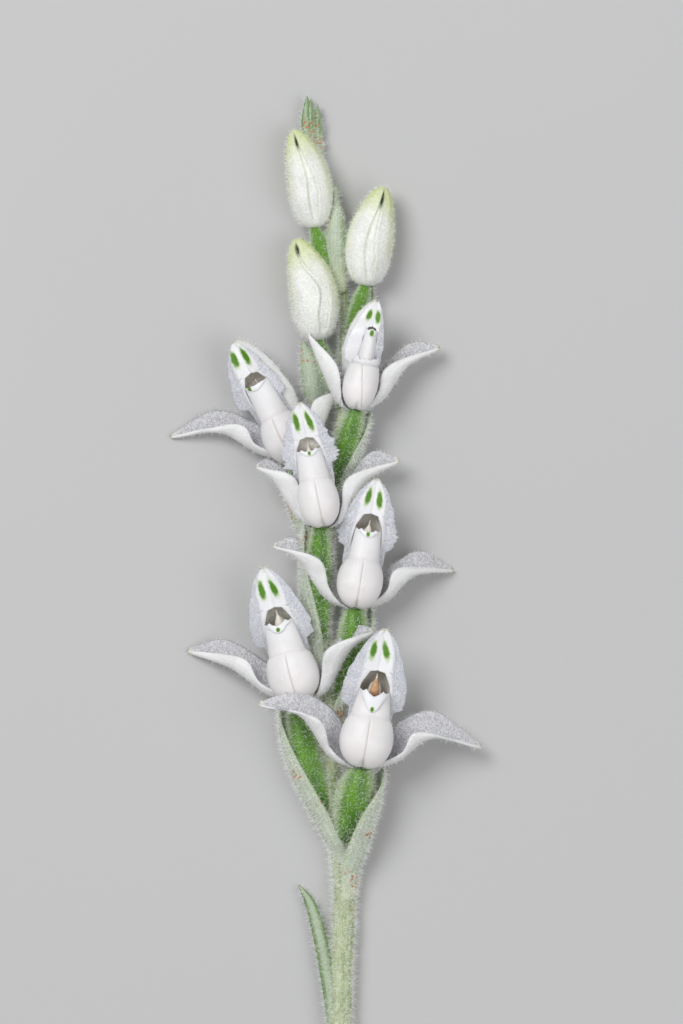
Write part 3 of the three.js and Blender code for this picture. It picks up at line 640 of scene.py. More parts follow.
def teeth(x, spacing, seed):
    """A torn edge: pointed teeth of uneven width and height, from 0 to 1."""
    rng = np.random.default_rng(seed)
    count = 300
    places = np.cumsum(rng.uniform(0.25, 1.75, count)) * spacing / 2
    tips = rng.uniform(0.3, 1, count) ** 1.6
    heights = np.where(np.arange(count) % 2, tips, rng.uniform(0, 0.25, count))
    return 0.8 * np.interp(x, places, heights) + 0.2 * np.interp(3.1 * x + 2, places, heights)


# Shells: points, the corners of every face in turn, how many corners each face has, and what is known
# about each point for the finishes


def shell(points, faces, facts):
    """A shell whose faces all point outward."""
    corners = np.concatenate([face.reshape(-1) for face in faces])
    sizes = np.concatenate([np.full(len(face), face.shape[1]) for face in faces])
    volume = 0
    for face in faces:
        for k in range(1, face.shape[1] - 1):
            a, b, c = points[face[:, 0]], points[face[:, k]], points[face[:, k + 1]]
            volume += np.einsum("ij,ij->i", a, np.cross(b, c)).sum()
    if volume < 0:
        corners = np.concatenate([face[:, ::-1].reshape(-1) for face in faces])
    return dict(points=points, corners=corners, sizes=sizes, facts=facts)


def joined(shells):
    """One shell of several. A fact that one of them lacks is 0 there."""
    keys = {key for one in shells for key in one["facts"]}
    starts = np.cumsum([0] + [len(one["points"]) for one in shells[:-1]])
    return dict(
        points=np.concatenate([one["points"] for one in shells]),
        corners=np.concatenate([one["corners"] + start for one, start in zip(shells, starts)]),
        sizes=np.concatenate([one["sizes"] for one in shells]),
        facts={
            key: np.concatenate([one["facts"].get(key, np.zeros(len(one["points"]))) for one in shells])
            for key in sorted(keys)
        },
    )


def quads_between(near, far):
    """Faces between two rows of point numbers."""
    return np.stack([near[..., :-1], near[..., 1:], far[..., 1:], far[..., :-1]], axis=-1).reshape(-1, 4)


def tube(rings, facts):
    """A closed shell from rings of points, drawn in to one point at either end."""
    rows, sides, _ = rings.shape
    points = np.concatenate([rings.reshape(-1, 3), [rings[0].mean(0), rings[-1].mean(0)]])
    numbers = np.arange(rows * sides).reshape(rows, sides)
    numbers = np.concatenate([numbers, numbers[:, :1]], axis=1)
    start, end = rows * sides, rows * sides + 1
    faces = [quads_between(numbers[:-1], numbers[1:])]
    for row, pole, order in ((numbers[0], start, (0, 2, 1)), (numbers[-1], end, (0, 1, 2))):
        fan = np.stack([np.full(sides, pole), row[:-1], row[1:]], axis=-1)
        faces.append(fan[:, order])
    spread = {}
    for key, value in facts.items():
        value = np.broadcast_to(value, (rows, sides))
        spread[key] = np.concatenate([value.reshape(-1), [value[0].mean(), value[-1].mean()]])
    return shell(points, faces, spread)


def sheet_normals(middle):
    return unit(np.cross(np.gradient(middle, axis=0), np.gradient(middle, axis=1)))


def sheet(middle, thickness, facts, outer_side):
    """A closed shell round a sheet of points, thinned out to its rim. outer_side says which way its outer
    side faces: 1 along the sheet's own normal, -1 against it."""
    rows, columns, _ = middle.shape
    s = np.linspace(-1, 1, rows)[:, None]
    t = across_steps(columns)[None, :]
    side_bluntness, end_bluntness = 6, 24
    thinned = np.sqrt(1 - np.abs(t) ** side_bluntness) * np.sqrt(1 - np.abs(s) ** end_bluntness)
    lift = (thickness / 2 * thinned)[..., None] * sheet_normals(middle)
    inside = np.zeros((rows, columns), bool)
    inside[1:-1, 1:-1] = True
    front = np.arange(rows * columns).reshape(rows, columns)
    back = front.copy()
    back[inside] = rows * columns + np.arange(inside.sum())
    points = np.concatenate([(middle + lift).reshape(-1, 3), (middle - lift)[inside]])
    faces = [quads_between(front[:-1], front[1:]), quads_between(back[:-1], back[1:])[:, ::-1]]
    spread = {}
    for key, value in facts.items():
        value = np.broadcast_to(value, (rows, columns))
        spread[key] = np.concatenate([value.reshape(-1), value[inside]])
    rim = np.where(inside, 0.0, 0.5)
    on_front = np.where(inside, outer_side > 0, rim).reshape(-1)
    spread["outer"] = np.concatenate([on_front, np.full(inside.sum(), float(outer_side < 0))])
    spread["outer"] = np.maximum(spread["outer"], spread.pop("turned", 0))
    fringe = 1 + EDGE_FRINGE * smoothstep(np.abs(np.broadcast_to(t, (rows, columns))), FRINGE_FROM, 1)
    fringe = np.concatenate([fringe.reshape(-1), fringe[inside]])
    spread["hairy"] = spread.get("hairy", 1) * (spread["outer"] > 0.4) * fringe
    return shell(points, faces, spread)


def across_steps(columns):
    """Places from -1 to 1 that lie closer together towards the edges."""
    crowding = 0.55
    even = np.linspace(-1, 1, columns)
    return (1 - crowding) * even + crowding * np.sin(even * math.pi / 2)


def grid(rows, columns):
    """The grid of a sheet: places along it from 0 to 1, and across it from -1 to 1."""
    return np.meshgrid(np.linspace(0, 1, rows), across_steps(columns), indexing="ij")


def turns(rows, sides):
    """The grid of a tube: places along it, closer together at its ends, and angles round it."""
    return np.meshgrid(along_steps(rows, 0.5), round_steps(sides), indexing="ij")


def along_steps(rows, crowding):
    """Places from 0 to 1 that lie closer together towards the ends, the more so the larger crowding is."""
    even = np.linspace(0, 1, rows)
    return crowding * (1 - np.cos(math.pi * even)) / 2 + (1 - crowding) * even


def round_steps(sides):
    return np.linspace(0, 2 * math.pi, sides, endpoint=False)


def spindle(route, radius, s, angle, flatness=1):
    """Rings round a route, each of its own radius."""
    side, lift = cross_axes(route, s)
    return (
        along(route, s)
        + side * (radius * np.cos(angle))[..., None]
        + lift * (radius * flatness * np.sin(angle))[..., None]
    )


def above_ground(points):
    """The same points, none lower than a sheet's own, with a soft bend where the piece comes to rest."""
    z = points[..., 2]
    excess = z - LOWEST_SHEET
    lifted = LOWEST_SHEET + 0.5 * (excess + np.sqrt(excess**2 + REST_SOFTNESS**2))
    return point(points[..., 0], points[..., 1], np.where(excess > REST_REACH, z, lifted))


# Objects


def spike_shift():
    """Where the spike's own origin lies in the frame, found from the stem's cut end."""
    tolerance = 0.05 * MM
    corners = np.array([vertex.co for vertex in frame["nodes"]["stem"].data.vertices])
    cut_end = corners[corners[:, 1] < corners[:, 1].min() + tolerance]
    middle = (cut_end.min(0) + cut_end.max(0)) / 2
    return middle - np.array(STEM_ROUTE[0]) * MM


SHIFT = spike_shift()


def mesh_of(name, one):
    """A Blender mesh, in metres in the frame, from a shell in millimetres on the spike."""
    mesh = bpy.data.meshes.new(name)
    mesh.vertices.add(len(one["points"]))
    mesh.vertices.foreach_set("co", (one["points"] * MM + SHIFT).astype(np.float32).reshape(-1))
    mesh.loops.add(len(one["corners"]))
    mesh.loops.foreach_set("vertex_index", one["corners"].astype(np.int32))
    mesh.polygons.add(len(one["sizes"]))
    starts = np.concatenate([[0], np.cumsum(one["sizes"])[:-1]])
    mesh.polygons.foreach_set("loop_start", starts.astype(np.int32))
    mesh.update(calc_edges=True)
    mesh.validate()
    for key, value in one["facts"].items():
        set_fact(mesh, key, value)
    mesh.shade_smooth()
    return mesh


def set_fact(mesh, name, values):
    mesh.attributes.new(name, "FLOAT", "POINT").data.foreach_set("value", values.astype(np.float32))


def read(data, key, count, kind):
    """What Blender keeps under key for count items, as one row of numbers."""
    values = np.zeros(count, kind)
    data.foreach_get(key, values)
    return values


def shell_of(mesh):
    """The shell of a finished piece's mesh."""
    count = len(mesh.vertices)
    points = read(mesh.vertices, "co", 3 * count, np.float32).reshape(-1, 3).astype(float)
    return dict(
        points=(points - SHIFT) / MM,
        corners=read(mesh.loops, "vertex_index", len(mesh.loops), np.int32),
        sizes=read(mesh.polygons, "loop_total", len(mesh.polygons), np.int32),
        facts={"hairy": read(mesh.attributes["hairy"].data, "value", count, np.float32)},
    )


def add_piece(name, mesh, slot, finish, *nodes):
    """A finished piece that rides on the spike and takes the place of the CAD nodes named."""
    if finish is not None:
        mesh.materials.append(finish)
    piece = bpy.data.objects.new(name, mesh)
    bpy.context.scene.collection.objects.link(piece)
    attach(piece, BODY)
    if nodes:
        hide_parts(*nodes)
    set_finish(piece, slot)
    return piece


# Node trees


def add_node(tree, kind, place, inputs=None, **settings):
    """A node with its settings and inputs; an input is a value or the output that feeds it."""
    node = tree.nodes.new(kind)
    node.location = (place[0] * NODE_SPACING, place[1] * NODE_SPACING)
    for key, value in settings.items():
        setattr(node, key, value)
    for key, value in (inputs or {}).items():
        if isinstance(value, NodeSocket):
            tree.links.new(value, node.inputs[key])
        else:
            node.inputs[key].default_value = value
    return node


def math_node(tree, operation, place, *values, clamp=False):
    inputs = dict(enumerate(values))
    return add_node(tree, "ShaderNodeMath", place, inputs, operation=operation, use_clamp=clamp).outputs[0]


def mixed(tree, place, share, first, second, blend="MIX"):
    """A colour mixed from two, each given as a colour or as the output that carries it."""
    node = add_node(tree, "ShaderNodeMix", place, data_type="RGBA", blend_type=blend)
    for label, kind, value in (("Factor", "VALUE", share), ("A", "RGBA", first), ("B", "RGBA", second)):
        socket = next(one for one in node.inputs if one.name == label and one.type == kind)
        if isinstance(value, NodeSocket):
            tree.links.new(value, socket)
        else:
            socket.default_value = value
    return next(one for one in node.outputs if one.type == "RGBA")


def ramped(tree, place, value, low, high):
    """A smooth step of a value from low to high, from 0 to 1."""
    node = add_node(
        tree, "ShaderNodeMapRange", place, {"Value": value, "From Min": low, "From Max": high},
        interpolation_type="SMOOTHSTEP",
    )
    return node.outputs["Result"]


def new_group(name, inputs, outputs):
    """An empty shader node group with named sockets: inputs are (name, kind, default)."""
    group = bpy.data.node_groups.new(name, "ShaderNodeTree")
    for label, kind, default in inputs:
        socket = group.interface.new_socket(name=label, in_out="INPUT", socket_type=kind)
        if default is not None:
            socket.default_value = default
    for label, kind in outputs:
        group.interface.new_socket(name=label, in_out="OUTPUT", socket_type=kind)
    return group, group.nodes.new("NodeGroupInput"), group.nodes.new("NodeGroupOutput")


def cells_group(name):
    """Glistening cells: domed cells with a tone of their own, and a glint on a few of them."""
    group, start, end = new_group(
        name,
        [("Vector", "NodeSocketVector", None), ("Cells Per Metre", "NodeSocketFloat", 11000)],
        [("Height", "NodeSocketFloat"), ("Tone", "NodeSocketFloat"), ("Glint", "NodeSocketFloat")],
    )
    cells = add_node(
        group, "ShaderNodeTexVoronoi", (1, 0),
        {"Vector": start.outputs["Vector"], "Scale": start.outputs["Cells Per Metre"], "Randomness": 0.9},
    )
    tone = add_node(group, "ShaderNodeSeparateColor", (2, -1), {"Color": cells.outputs["Color"]})
    height = math_node(group, "SUBTRACT", (2, 0), 1.0, cells.outputs["Distance"])
    glint = ramped(group, (3, -1), tone.outputs[1], 0.78, 1.0)
    group.links.new(height, end.inputs["Height"])
    group.links.new(tone.outputs[0], end.inputs["Tone"])
    group.links.new(glint, end.inputs["Glint"])
    return group


def mottle_group(name):
    """Uneven tone at a chosen size, with finer variation inside it."""
    group, start, end = new_group(
        name,
        [("Vector", "NodeSocketVector", None), ("Blotches Per Metre", "NodeSocketFloat", 900)],
        [("Tone", "NodeSocketFloat"), ("Grain", "NodeSocketFloat")],
    )
    broad_scale = start.outputs["Blotches Per Metre"]
    fine_scale = math_node(group, "MULTIPLY", (0, -2), broad_scale, 7.0)
    for row, label, scale, detail, low in (
        (0, "Tone", broad_scale, 2.0, 0.3),
        (-2, "Grain", fine_scale, 3.0, 0.25),
    ):
        inputs = {"Vector": start.outputs["Vector"], "Scale": scale, "Detail": detail}
        noise = add_node(group, "ShaderNodeTexNoise", (1, row), inputs)
        group.links.new(ramped(group, (2, row), noise.outputs["Fac"], low, 1 - low), end.inputs[label])
    return group


def specks_group(name):
    """Clusters of small dry specks, scattered thinly. Rarity is how high the broad noise has to be."""
    group, start, end = new_group(
        name,
        [("Vector", "NodeSocketVector", None), ("Rarity", "NodeSocketFloat", 0.64)],
        [("Mask", "NodeSocketFloat")],
    )
    vector, rarity = start.outputs["Vector"], start.outputs["Rarity"]
    broad = add_node(group, "ShaderNodeTexNoise", (1, 0), {"Vector": vector, "Scale": 420.0, "Detail": 1.0})
    dots = add_node(
        group, "ShaderNodeTexVoronoi", (1, -2), {"Vector": vector, "Scale": 5200.0, "Randomness": 1.0},
    )
    top = math_node(group, "ADD", (2, -1), rarity, 0.06)
    cluster = ramped(group, (3, 0), broad.outputs["Fac"], rarity, top)
    inside = ramped(group, (3, -2), dots.outputs["Distance"], 0.5, 0.3)
    group.links.new(math_node(group, "MULTIPLY", (4, 0), cluster, inside), end.inputs["Mask"])
    return group


def spot_group(name):
    """A painted mark with a soft, uneven edge. Field is 1 on its outline and less inside it."""
    group, start, end = new_group(
        name,
        [
            ("Field", "NodeSocketFloat", NO_SPOT), ("Grain", "NodeSocketFloat", 0.5),
            ("Softness", "NodeSocketFloat", 0.3),
        ],
        [("Mask", "NodeSocketFloat")],
    )
    shifted = math_node(group, "MULTIPLY_ADD", (1, 0), start.outputs["Grain"], 0.22, start.outputs["Field"])
    low, high = (
        math_node(group, operation, (1, row), 1.1, start.outputs["Softness"])
        for operation, row in (("SUBTRACT", -1), ("ADD", -2))
    )
    outside = ramped(group, (2, 0), shifted, low, high)
    group.links.new(math_node(group, "SUBTRACT", (3, 0), 1.0, outside), end.inputs["Mask"])
    return group


class Finish:
    """A material being made, with the nodes that every finish here starts from. cell is the width of its
    cells and blotch that of its mottle, in millimetres."""

    def __init__(self, name, roughness, subsurface, blotch, cell=None, radius=(1.0, 0.9, 0.8)):
        self.material = bpy.data.materials.new(name)
        self.material.use_nodes = True
        self.tree = self.material.node_tree
        self.shader = self.tree.nodes["Principled BSDF"]
        self.shader.location = (9 * NODE_SPACING, 0)
        self.tree.nodes["Material Output"].location = (11 * NODE_SPACING, 0)
        self.set(
            roughness=roughness, subsurface_weight=subsurface, subsurface_scale=0.3 * MM,
            subsurface_radius=radius,
        )
        self.vector = add_node(self.tree, "ShaderNodeTexCoord", (-4, 0)).outputs["Object"]
        self.mottle = self.group("mottle", mottle_group, (-3, -3), {"Blotches Per Metre": 1 / (blotch * MM)})
        if cell:
            inputs = {"Cells Per Metre": 1 / (cell * MM)}
            self.cells = self.group("glistening_cells", cells_group, (-3, 0), inputs)

    def set(self, **constants):
        """Constants on the shader's own sockets, each under its label in small letters."""
        for label, value in constants.items():
            self.shader.inputs[label.replace("_", " ").title()].default_value = value

    def group(self, name, build, place, inputs):
        """A node group in this material, which is built the first time one is asked for."""
        tree = bpy.data.node_groups.get(name) or build(name)
        node = add_node(self.tree, "ShaderNodeGroup", place, inputs, node_tree=tree)
        if "Vector" in node.inputs:
            self.tree.links.new(self.vector, node.inputs["Vector"])
        return node

    def fact(self, name, place=(-3, 3)):
        return add_node(self.tree, "ShaderNodeAttribute", place, attribute_name=name).outputs["Fac"]

    def over(self, place, base, fact, paint):
        """The base colour, with another where a fact of the shape says so."""
        share = self.fact(fact, (place[0] - 1, place[1] + 1))
        return mixed(self.tree, place, share, base, paint)

    def marked(self, base, softness, core, rim):
        """The base colour with the shape's painted spots on it, darker in their middle."""
        inputs = {"Field": self.fact("spot"), "Grain": self.mottle.outputs["Grain"], "Softness": softness}
        mask = self.group("painted_mark", spot_group, (-1, 3), inputs).outputs["Mask"]
        deep = ramped(self.tree, (2, 4), mask, 0.35, 0.95)
        return mixed(self.tree, (4, 2), mask, base, mixed(self.tree, (3, 4), deep, opaque(rim), opaque(core)))

    def specked(self, base, rarity):
        """The base colour with dry specks on it."""
        node = self.group("dry_specks", specks_group, (-1, 5), {"Rarity": rarity})
        return mixed(self.tree, (4, 4), node.outputs["Mask"], base, opaque(colours().speck))

    def toned(self, colour, low):
        """The colour, darker by the factor low where the mottle is low."""
        share = ramped(self.tree, (-1, -3), self.mottle.outputs["Tone"], 0.0, 1.0)
        return mixed(self.tree, (0, -2), share, darker(colour, low), opaque(colour))

    def grainy(self, colour, darkest, glint):
        """The colour with a tone of its own on each glistening cell, a painted highlight of near-white glint
        on a few of them, and broader patches over them.
        """
        dark = darker(colour, darkest)
        cell = mixed(self.tree, (0, 1), self.cells.outputs["Tone"], dark, opaque(colour))
        bright = math_node(self.tree, "MULTIPLY", (-1, 2), self.cells.outputs["Glint"], glint)
        cell = mixed(self.tree, (0, 2), bright, cell, GLINT)
        patch = ramped(self.tree, (0, -1), self.mottle.outputs["Grain"], 0.0, 1.0)
        return mixed(self.tree, (1, 0), patch, mixed(self.tree, (1, 2), 0.15, cell, dark), cell)

    def beaded(self, base, grain):
        """The base colour, tinted with grain where a cell's tone is low."""
        tint = mixed(self.tree, (5, -2), self.cells.outputs["Tone"], grain, WHITE)
        return mixed(self.tree, (6, 0), 1.0, base, tint, "MULTIPLY")

    def bump(self, height, strength, depth, after=None):
        """A bump that is depth millimetres deep, over another one if after is given."""
        inputs = {"Height": height, "Strength": strength, "Distance": depth * MM}
        if after:
            inputs["Normal"] = after
        return add_node(self.tree, "ShaderNodeBump", (6, -3), inputs).outputs["Normal"]

    def cell_bump(self, strength, depth):
        return self.bump(self.cells.outputs["Height"], strength, depth)

    def glistening(self, base, smooth_fact, smoothing, glint, roughness):
        """The finished material of a skin whose cells stand out, less so where smooth_fact is 1."""
        relief = math_node(self.tree, "MULTIPLY_ADD", (4, -3), self.fact(smooth_fact), -smoothing, 1.0)
        height = math_node(self.tree, "MULTIPLY", (5, -3), self.cells.outputs["Height"], relief)
        rough = math_node(self.tree, "MULTIPLY_ADD", (5, -1), self.cells.outputs["Glint"], -glint, roughness)
        self.tree.links.new(rough, self.shader.inputs["Roughness"])
        return self.done(base, self.bump(height, 1.0, 0.05))

    def done(self, base, normal=None):
        self.tree.links.new(base, self.shader.inputs["Base Color"])
        if normal:
            self.tree.links.new(normal, self.shader.inputs["Normal"])
        return self.material


def opaque(colour):
    return (*colour[:3], 1.0)


def darker(colour, share):
    return (*(channel * share for channel in colour[:3]), 1.0)


def sizes():
    return bpy.context.scene.orchid_sizes


def colours():
    return bpy.context.scene.orchid_colours


def once(name, make):
    """The material of that name, made the first time it is asked for."""
    return bpy.data.materials.get(name) or make(name)


def petal_finish(name):
    paints = colours()
    finish = Finish(name, roughness=0.42, subsurface=0.3, cell=sizes().cell_size / MM, blotch=1.6)
    # The wing takes painted shade towards its outer edge, where the fact thin is high
    wing = finish.over((1, 4), finish.grainy(paints.petal_wing, darkest=0.72, glint=1.0), "thin", PETAL_MARGIN_SHADE)
    base = finish.over((2, 0), wing, "plate", finish.toned(paints.petal_plate, low=0.95))
    base = finish.over((3, 0), base, "tip", opaque(paints.sepal_tip))
    base = finish.marked(base, softness=0.42, core=paints.spot, rim=paints.spot_rim)
    return finish.glistening(base, "plate", smoothing=0.75, glint=0.25, roughness=0.45)


def sepal_finish(name):
    paints = colours()
    finish = Finish(name, roughness=0.5, subsurface=0.3, cell=1.05 * sizes().cell_size / MM, blotch=1.6)
    inside = finish.grainy(paints.sepal_inside, darkest=0.62, glint=0.6)
    # Behind the mouth the inside takes the mouth colour, painted light that lifts the hollow's shade
    inside = finish.over((2, 1), inside, "mouth", finish.toned(paints.mouth, low=0.8))
    base = finish.over((3, 0), inside, "outer", finish.toned(paints.sepal_outside, low=0.9))
    base = finish.over((4, 0), base, "tip", opaque(paints.sepal_tip))
    return finish.glistening(base, "outer", smoothing=0.6, glint=0.22, roughness=0.5)


def lip_finish(name):
    paints = colours()
    finish = Finish(name, roughness=0.46, subsurface=0.35, cell=0.05, blotch=1.6)
    # line darkens the lip: painted shade in the groove, crease and dimple rings, and the veins' own colour
    line = math_node(finish.tree, "MULTIPLY", (1, 2), finish.fact("line"), 0.75, clamp=True)
    base = mixed(finish.tree, (2, 0), line, finish.toned(paints.lip, low=0.95), opaque(paints.lip_vein_and_shade))
    base = finish.over((3, 0), base, "bright", opaque(paints.petal_plate))
    base = finish.marked(base, softness=0.4, core=paints.spot, rim=paints.spot_rim)
    return finish.done(base, finish.cell_bump(strength=0.25, depth=0.012))


def column_finish(name):
    finish = Finish(name, roughness=0.45, subsurface=0.3, cell=0.06, blotch=0.5)
    return finish.done(finish.toned(colours().column, low=0.8), finish.cell_bump(strength=0.3, depth=0.015))


def anther_finish(name):
    paints = colours()
    finish = Finish(name, roughness=0.5, subsurface=0.2, cell=0.07, blotch=0.3)
    base = finish.over((2, 0), finish.toned(paints.anther, low=0.72), "pale", opaque(paints.column))
    return finish.done(base, finish.cell_bump(strength=0.4, depth=0.02))


def ovary_finish(name):
    paints = colours()
    finish = Finish(name, roughness=0.42, subsurface=0.25, cell=0.07, blotch=0.7, radius=(0.6, 1.0, 0.3))
    tone = finish.mottle.outputs["Tone"]
    # The ovary's own mottled streaks, with painted shade from the fact shade in the rib grooves and near the
    # foot
    streak_and_shade = math_node(finish.tree, "MULTIPLY_ADD", (1, 1), tone, 0.4, finish.fact("shade"))
    share = ramped(finish.tree, (1, 0), streak_and_shade, 0.1, 1.2)
    base = mixed(finish.tree, (2, 0), share, opaque(paints.ovary), opaque(paints.ovary_shade))
    # The flanks take a painted sheen, paler where the hairy skin is seen side-on
    base = finish.over((3, 0), base, "frost", opaque(paints.frost))
    return finish.done(base, finish.cell_bump(strength=0.5, depth=0.02))


def bract_finish(name):
    paints = colours()
    finish = Finish(name, roughness=0.6, subsurface=0.25, cell=0.06, blotch=0.9, radius=(0.8, 1.0, 0.5))
    base = finish.over((2, 0), finish.toned(paints.bract, low=0.82), "vein", opaque(paints.bract_vein))
    base = finish.over((2, 2), base, "green", opaque(paints.bract_green))
    base = finish.over((2, 3), base, "foot", finish.toned(paints.stem, low=0.8))
    return finish.done(finish.specked(base, rarity=0.62), finish.cell_bump(strength=0.5, depth=0.015))


def stem_finish(name):
    paints = colours()
    finish = Finish(name, roughness=0.6, subsurface=0.2, cell=0.15, blotch=1.2, radius=(0.8, 1.0, 0.5))
    drawn_out = {"Vector": finish.vector, "Scale": (1.0, 0.12, 1.0)}
    stretched = add_node(finish.tree, "ShaderNodeMapping", (-3, 4), drawn_out).outputs["Vector"]
    inputs = {"Vector": stretched, "Scale": 5200.0, "Detail": 2.0}
    streaks = add_node(finish.tree, "ShaderNodeTexNoise", (-2, 4), inputs).outputs["Fac"]
    share = ramped(finish.tree, (-1, 4), streaks, 0.4, 0.7)
    base = mixed(finish.tree, (2, 0), share, finish.toned(paints.stem, low=0.88), opaque(paints.stem_shade))
    base = finish.specked(finish.beaded(base, STEM_GRAIN), rarity=0.65)
    beads = finish.cell_bump(strength=0.9, depth=0.04)
    return finish.done(base, finish.bump(streaks, strength=0.4, depth=0.03, after=beads))


def bud_finish(name):
    paints = colours()
    finish = Finish(name, roughness=0.5, subsurface=0.35, cell=0.1, blotch=1.3)
    base = finish.over((2, 0), finish.toned(paints.bud, low=0.92), "flank", opaque(paints.bud_flank))
    base = finish.over((2, 2), base, "seam", opaque(paints.bract_vein))
    base = finish.over((3, 0), base, "green", opaque(paints.ovary))
    # The slit takes painted shade over the green inside the opening
    base = finish.over((4, 0), base, "slit", opaque(paints.bud_slit))
    return finish.done(finish.beaded(base, BUD_GRAIN), finish.cell_bump(strength=0.9, depth=0.045))


def hair_finish(name):
    finish = Finish(name, roughness=0.5, subsurface=1.0, blotch=0.4)
    finish.set(sheen_weight=1.0, sheen_roughness=0.4, emission_color=WHITE, emission_strength=HAIR_GLOW)
    return finish.done(finish.toned(colours().hair, low=0.95))


def floor_finish(name):
    finish = Finish(name, roughness=0.85, subsurface=0.0, blotch=60)
    inputs = {"Vector": finish.vector, "Scale": 1500.0, "Detail": 3.0}
    grain = add_node(finish.tree, "ShaderNodeTexNoise", (-2, -5), inputs).outputs["Fac"]
    bump = finish.bump(grain, strength=0.05, depth=0.02)
    return finish.done(finish.toned(colours().floor, low=0.985), bump)


# Shapes


def seed_of(flower, extra):
    return 100 * (FLOWERS.index(flower) + 1) + extra


def petal_edges(flower, share, up, seed):
    """How far out a petal's inner edge and torn outer edge are at each height, and where its lobe is."""
    lobe = flower["lobe"]
    blade = smoothstep(up, lobe - BLADE_LEAD, lobe + BLADE_ONSET - BLADE_LEAD)
    outer = mix(lookup(CLAW_OUTER, up), lookup(BLADE_OUTER, up), blade)
    jag = sizes().jag_depth / MM * flower["torn"] * lookup(JAG_SHARE, up + LOBE_FOOT - lobe) * blade
    bites = teeth(up, sizes().jag_spacing / MM, seed) + 0.5 * waver(up, 1.1, seed + 1)
    outer = (outer + jag * (bites - 0.5)) * share
    mouth_shift = (flower["mouth"] - MOUTH_TOP) * smoothstep(up, 4.2, 5.4)
    inner = lookup(PETAL_INNER, up - mouth_shift, 0.03) * mix(1, share, smoothstep(up, 5.4, 4.8))
    inner = inner * mix(1, flower.get("opening", 1), smoothstep(up, 2.4, 3.4))
    return inner, outer, blade


def petal_shell(flower, hand):
    """A petal of the hood: a narrow claw below, a broad torn wing, and a smooth plate beside the middle."""
    side = 0 if hand < 0 else 1
    share = flower.get("wings", flower["spread"])[side]
    s, t = grid(*PETAL_GRID)
    up = mix(HOOD_FOOT, HOOD_TOP, s)
    width = (t + 1) / 2
    seed = seed_of(flower, PETAL_SEED + hand)
    inner, outer, blade = petal_edges(flower, share, up, seed)
    across = mix(inner, np.maximum(outer, inner + PETAL_LEAST_WIDTH), width)
    plate_edge = lookup(PLATE_EDGE, up) * share * flower.get("plates", (1, 1))[side]
    ridge = hump(across, plate_edge, PLATE_RIDGE_WIDTH, PLATE_RIDGE) * smoothstep(up, 3.5, 5.0)
    from_edge = np.clip(1 - across / np.maximum(plate_edge, 0.1), 0, 1)
    cup = PLATE_CUP * smoothstep(up, 5.6, 6.2) * from_edge**2
    ripple = sizes().ripple / MM * waver(up, 1.6, seed + 2) * width**2 * smoothstep(up, 3.2, 4.2)
    pucker = PETAL_PUCKER * waver(up + across, 0.45, seed + 3) * width * blade
    flank = PETAL_FLANK_SLOPE * np.maximum(0, across - PETAL_RIDGE)
    out = lookup(PETAL_OUT, up) - flank + ridge - cup
    middle = point(hand * across, up, out + ripple + pucker) * flower["size"]
    facts = dict(
        plate=smoothstep(across, plate_edge + 0.12, plate_edge - 0.04),
        spot=spot_field(hand * across, up, flower["spots"]),
        tip=PETAL_TIP_TINT * smoothstep(up, 8.0, 8.3),
        # thin is the painted shade of the wing towards its outer edge
        thin=PETAL_MARGIN_SHADING * smoothstep(width, 0.35, 1.0) * blade,
    )
    return sheet(placed(middle, flower), sizes().petal_thickness / MM, facts, -1)


def spot_field(across, up, spots):
    """1 on the outline of the nearest green spot, less inside it and more outside. A spot is an egg shape
    that is broader towards its foot."""
    broadening = 0.18
    nearest = np.full(np.shape(across), NO_SPOT)
    for (x0, y0), (x1, y1) in spots:
        run = np.array([x1 - x0, y1 - y0])
        half = np.linalg.norm(run) / 2
        run = run / (2 * half)
        x, y = across - (x0 + x1) / 2, up - (y0 + y1) / 2
        lengthwise = (x * run[0] + y * run[1]) / half
        half_width = sizes().spot_half_width / MM * (1 + broadening * lengthwise)
        sideways = (x * run[1] - y * run[0]) / half_width
        nearest = np.minimum(nearest, np.sqrt(lengthwise**2 + sideways**2))
    return nearest


def dorsal_shell(flower):
    """The hood's back. Where a flower is seen from one side, backs widens it there and rolls it over."""
    s, t = grid(*DORSAL_GRID)
    up = mix(HOOD_FOOT, DORSAL_TOP, s)
    backs = flower.get("backs", flower["spread"])
    across = t * lookup(DORSAL_HALF_WIDTH, up) * np.where(t < 0, *backs)
    shallow = flower["shallow"] * smoothstep(up, 4.4, 5.4) * smoothstep(up, 8.0, 6.6)
    edge = lookup(DORSAL_EDGE_OUT, up)
    out = mix(lookup(DORSAL_KEEL_OUT, up) + shallow, edge, t * t)
    turned = np.sign(backs[1] - backs[0]) * t * ("backs" in flower)
    rolled = edge + ROLL_LIFT - ROLL_DROP * np.abs(turned) ** 3
    out = mix(out, rolled, smoothstep(turned, 0.25, 0.55))
    pucker = DORSAL_PUCKER * waver(up + 2 * across, 0.9, seed_of(flower, DORSAL_SEED))
    middle = point(across, up, out + pucker) * flower["size"]
    facts = dict(
        # mouth marks where the hood's inside is painted lighter: painted light against the hollow's shade
        mouth=smoothstep(up, 3.6, 4.2) * smoothstep(up, 7.2, 6.4) * smoothstep(np.abs(across), 1.2, 0.9),
        tip=smoothstep(up, 7.7, 8.4),
        hairy=smoothstep(up, 1.0, 2.0),
        turned=smoothstep(turned, 0.4, 0.6),
    )
    return sheet(above_ground(placed(middle, flower)), sizes().sepal_thickness / MM, facts, 1)


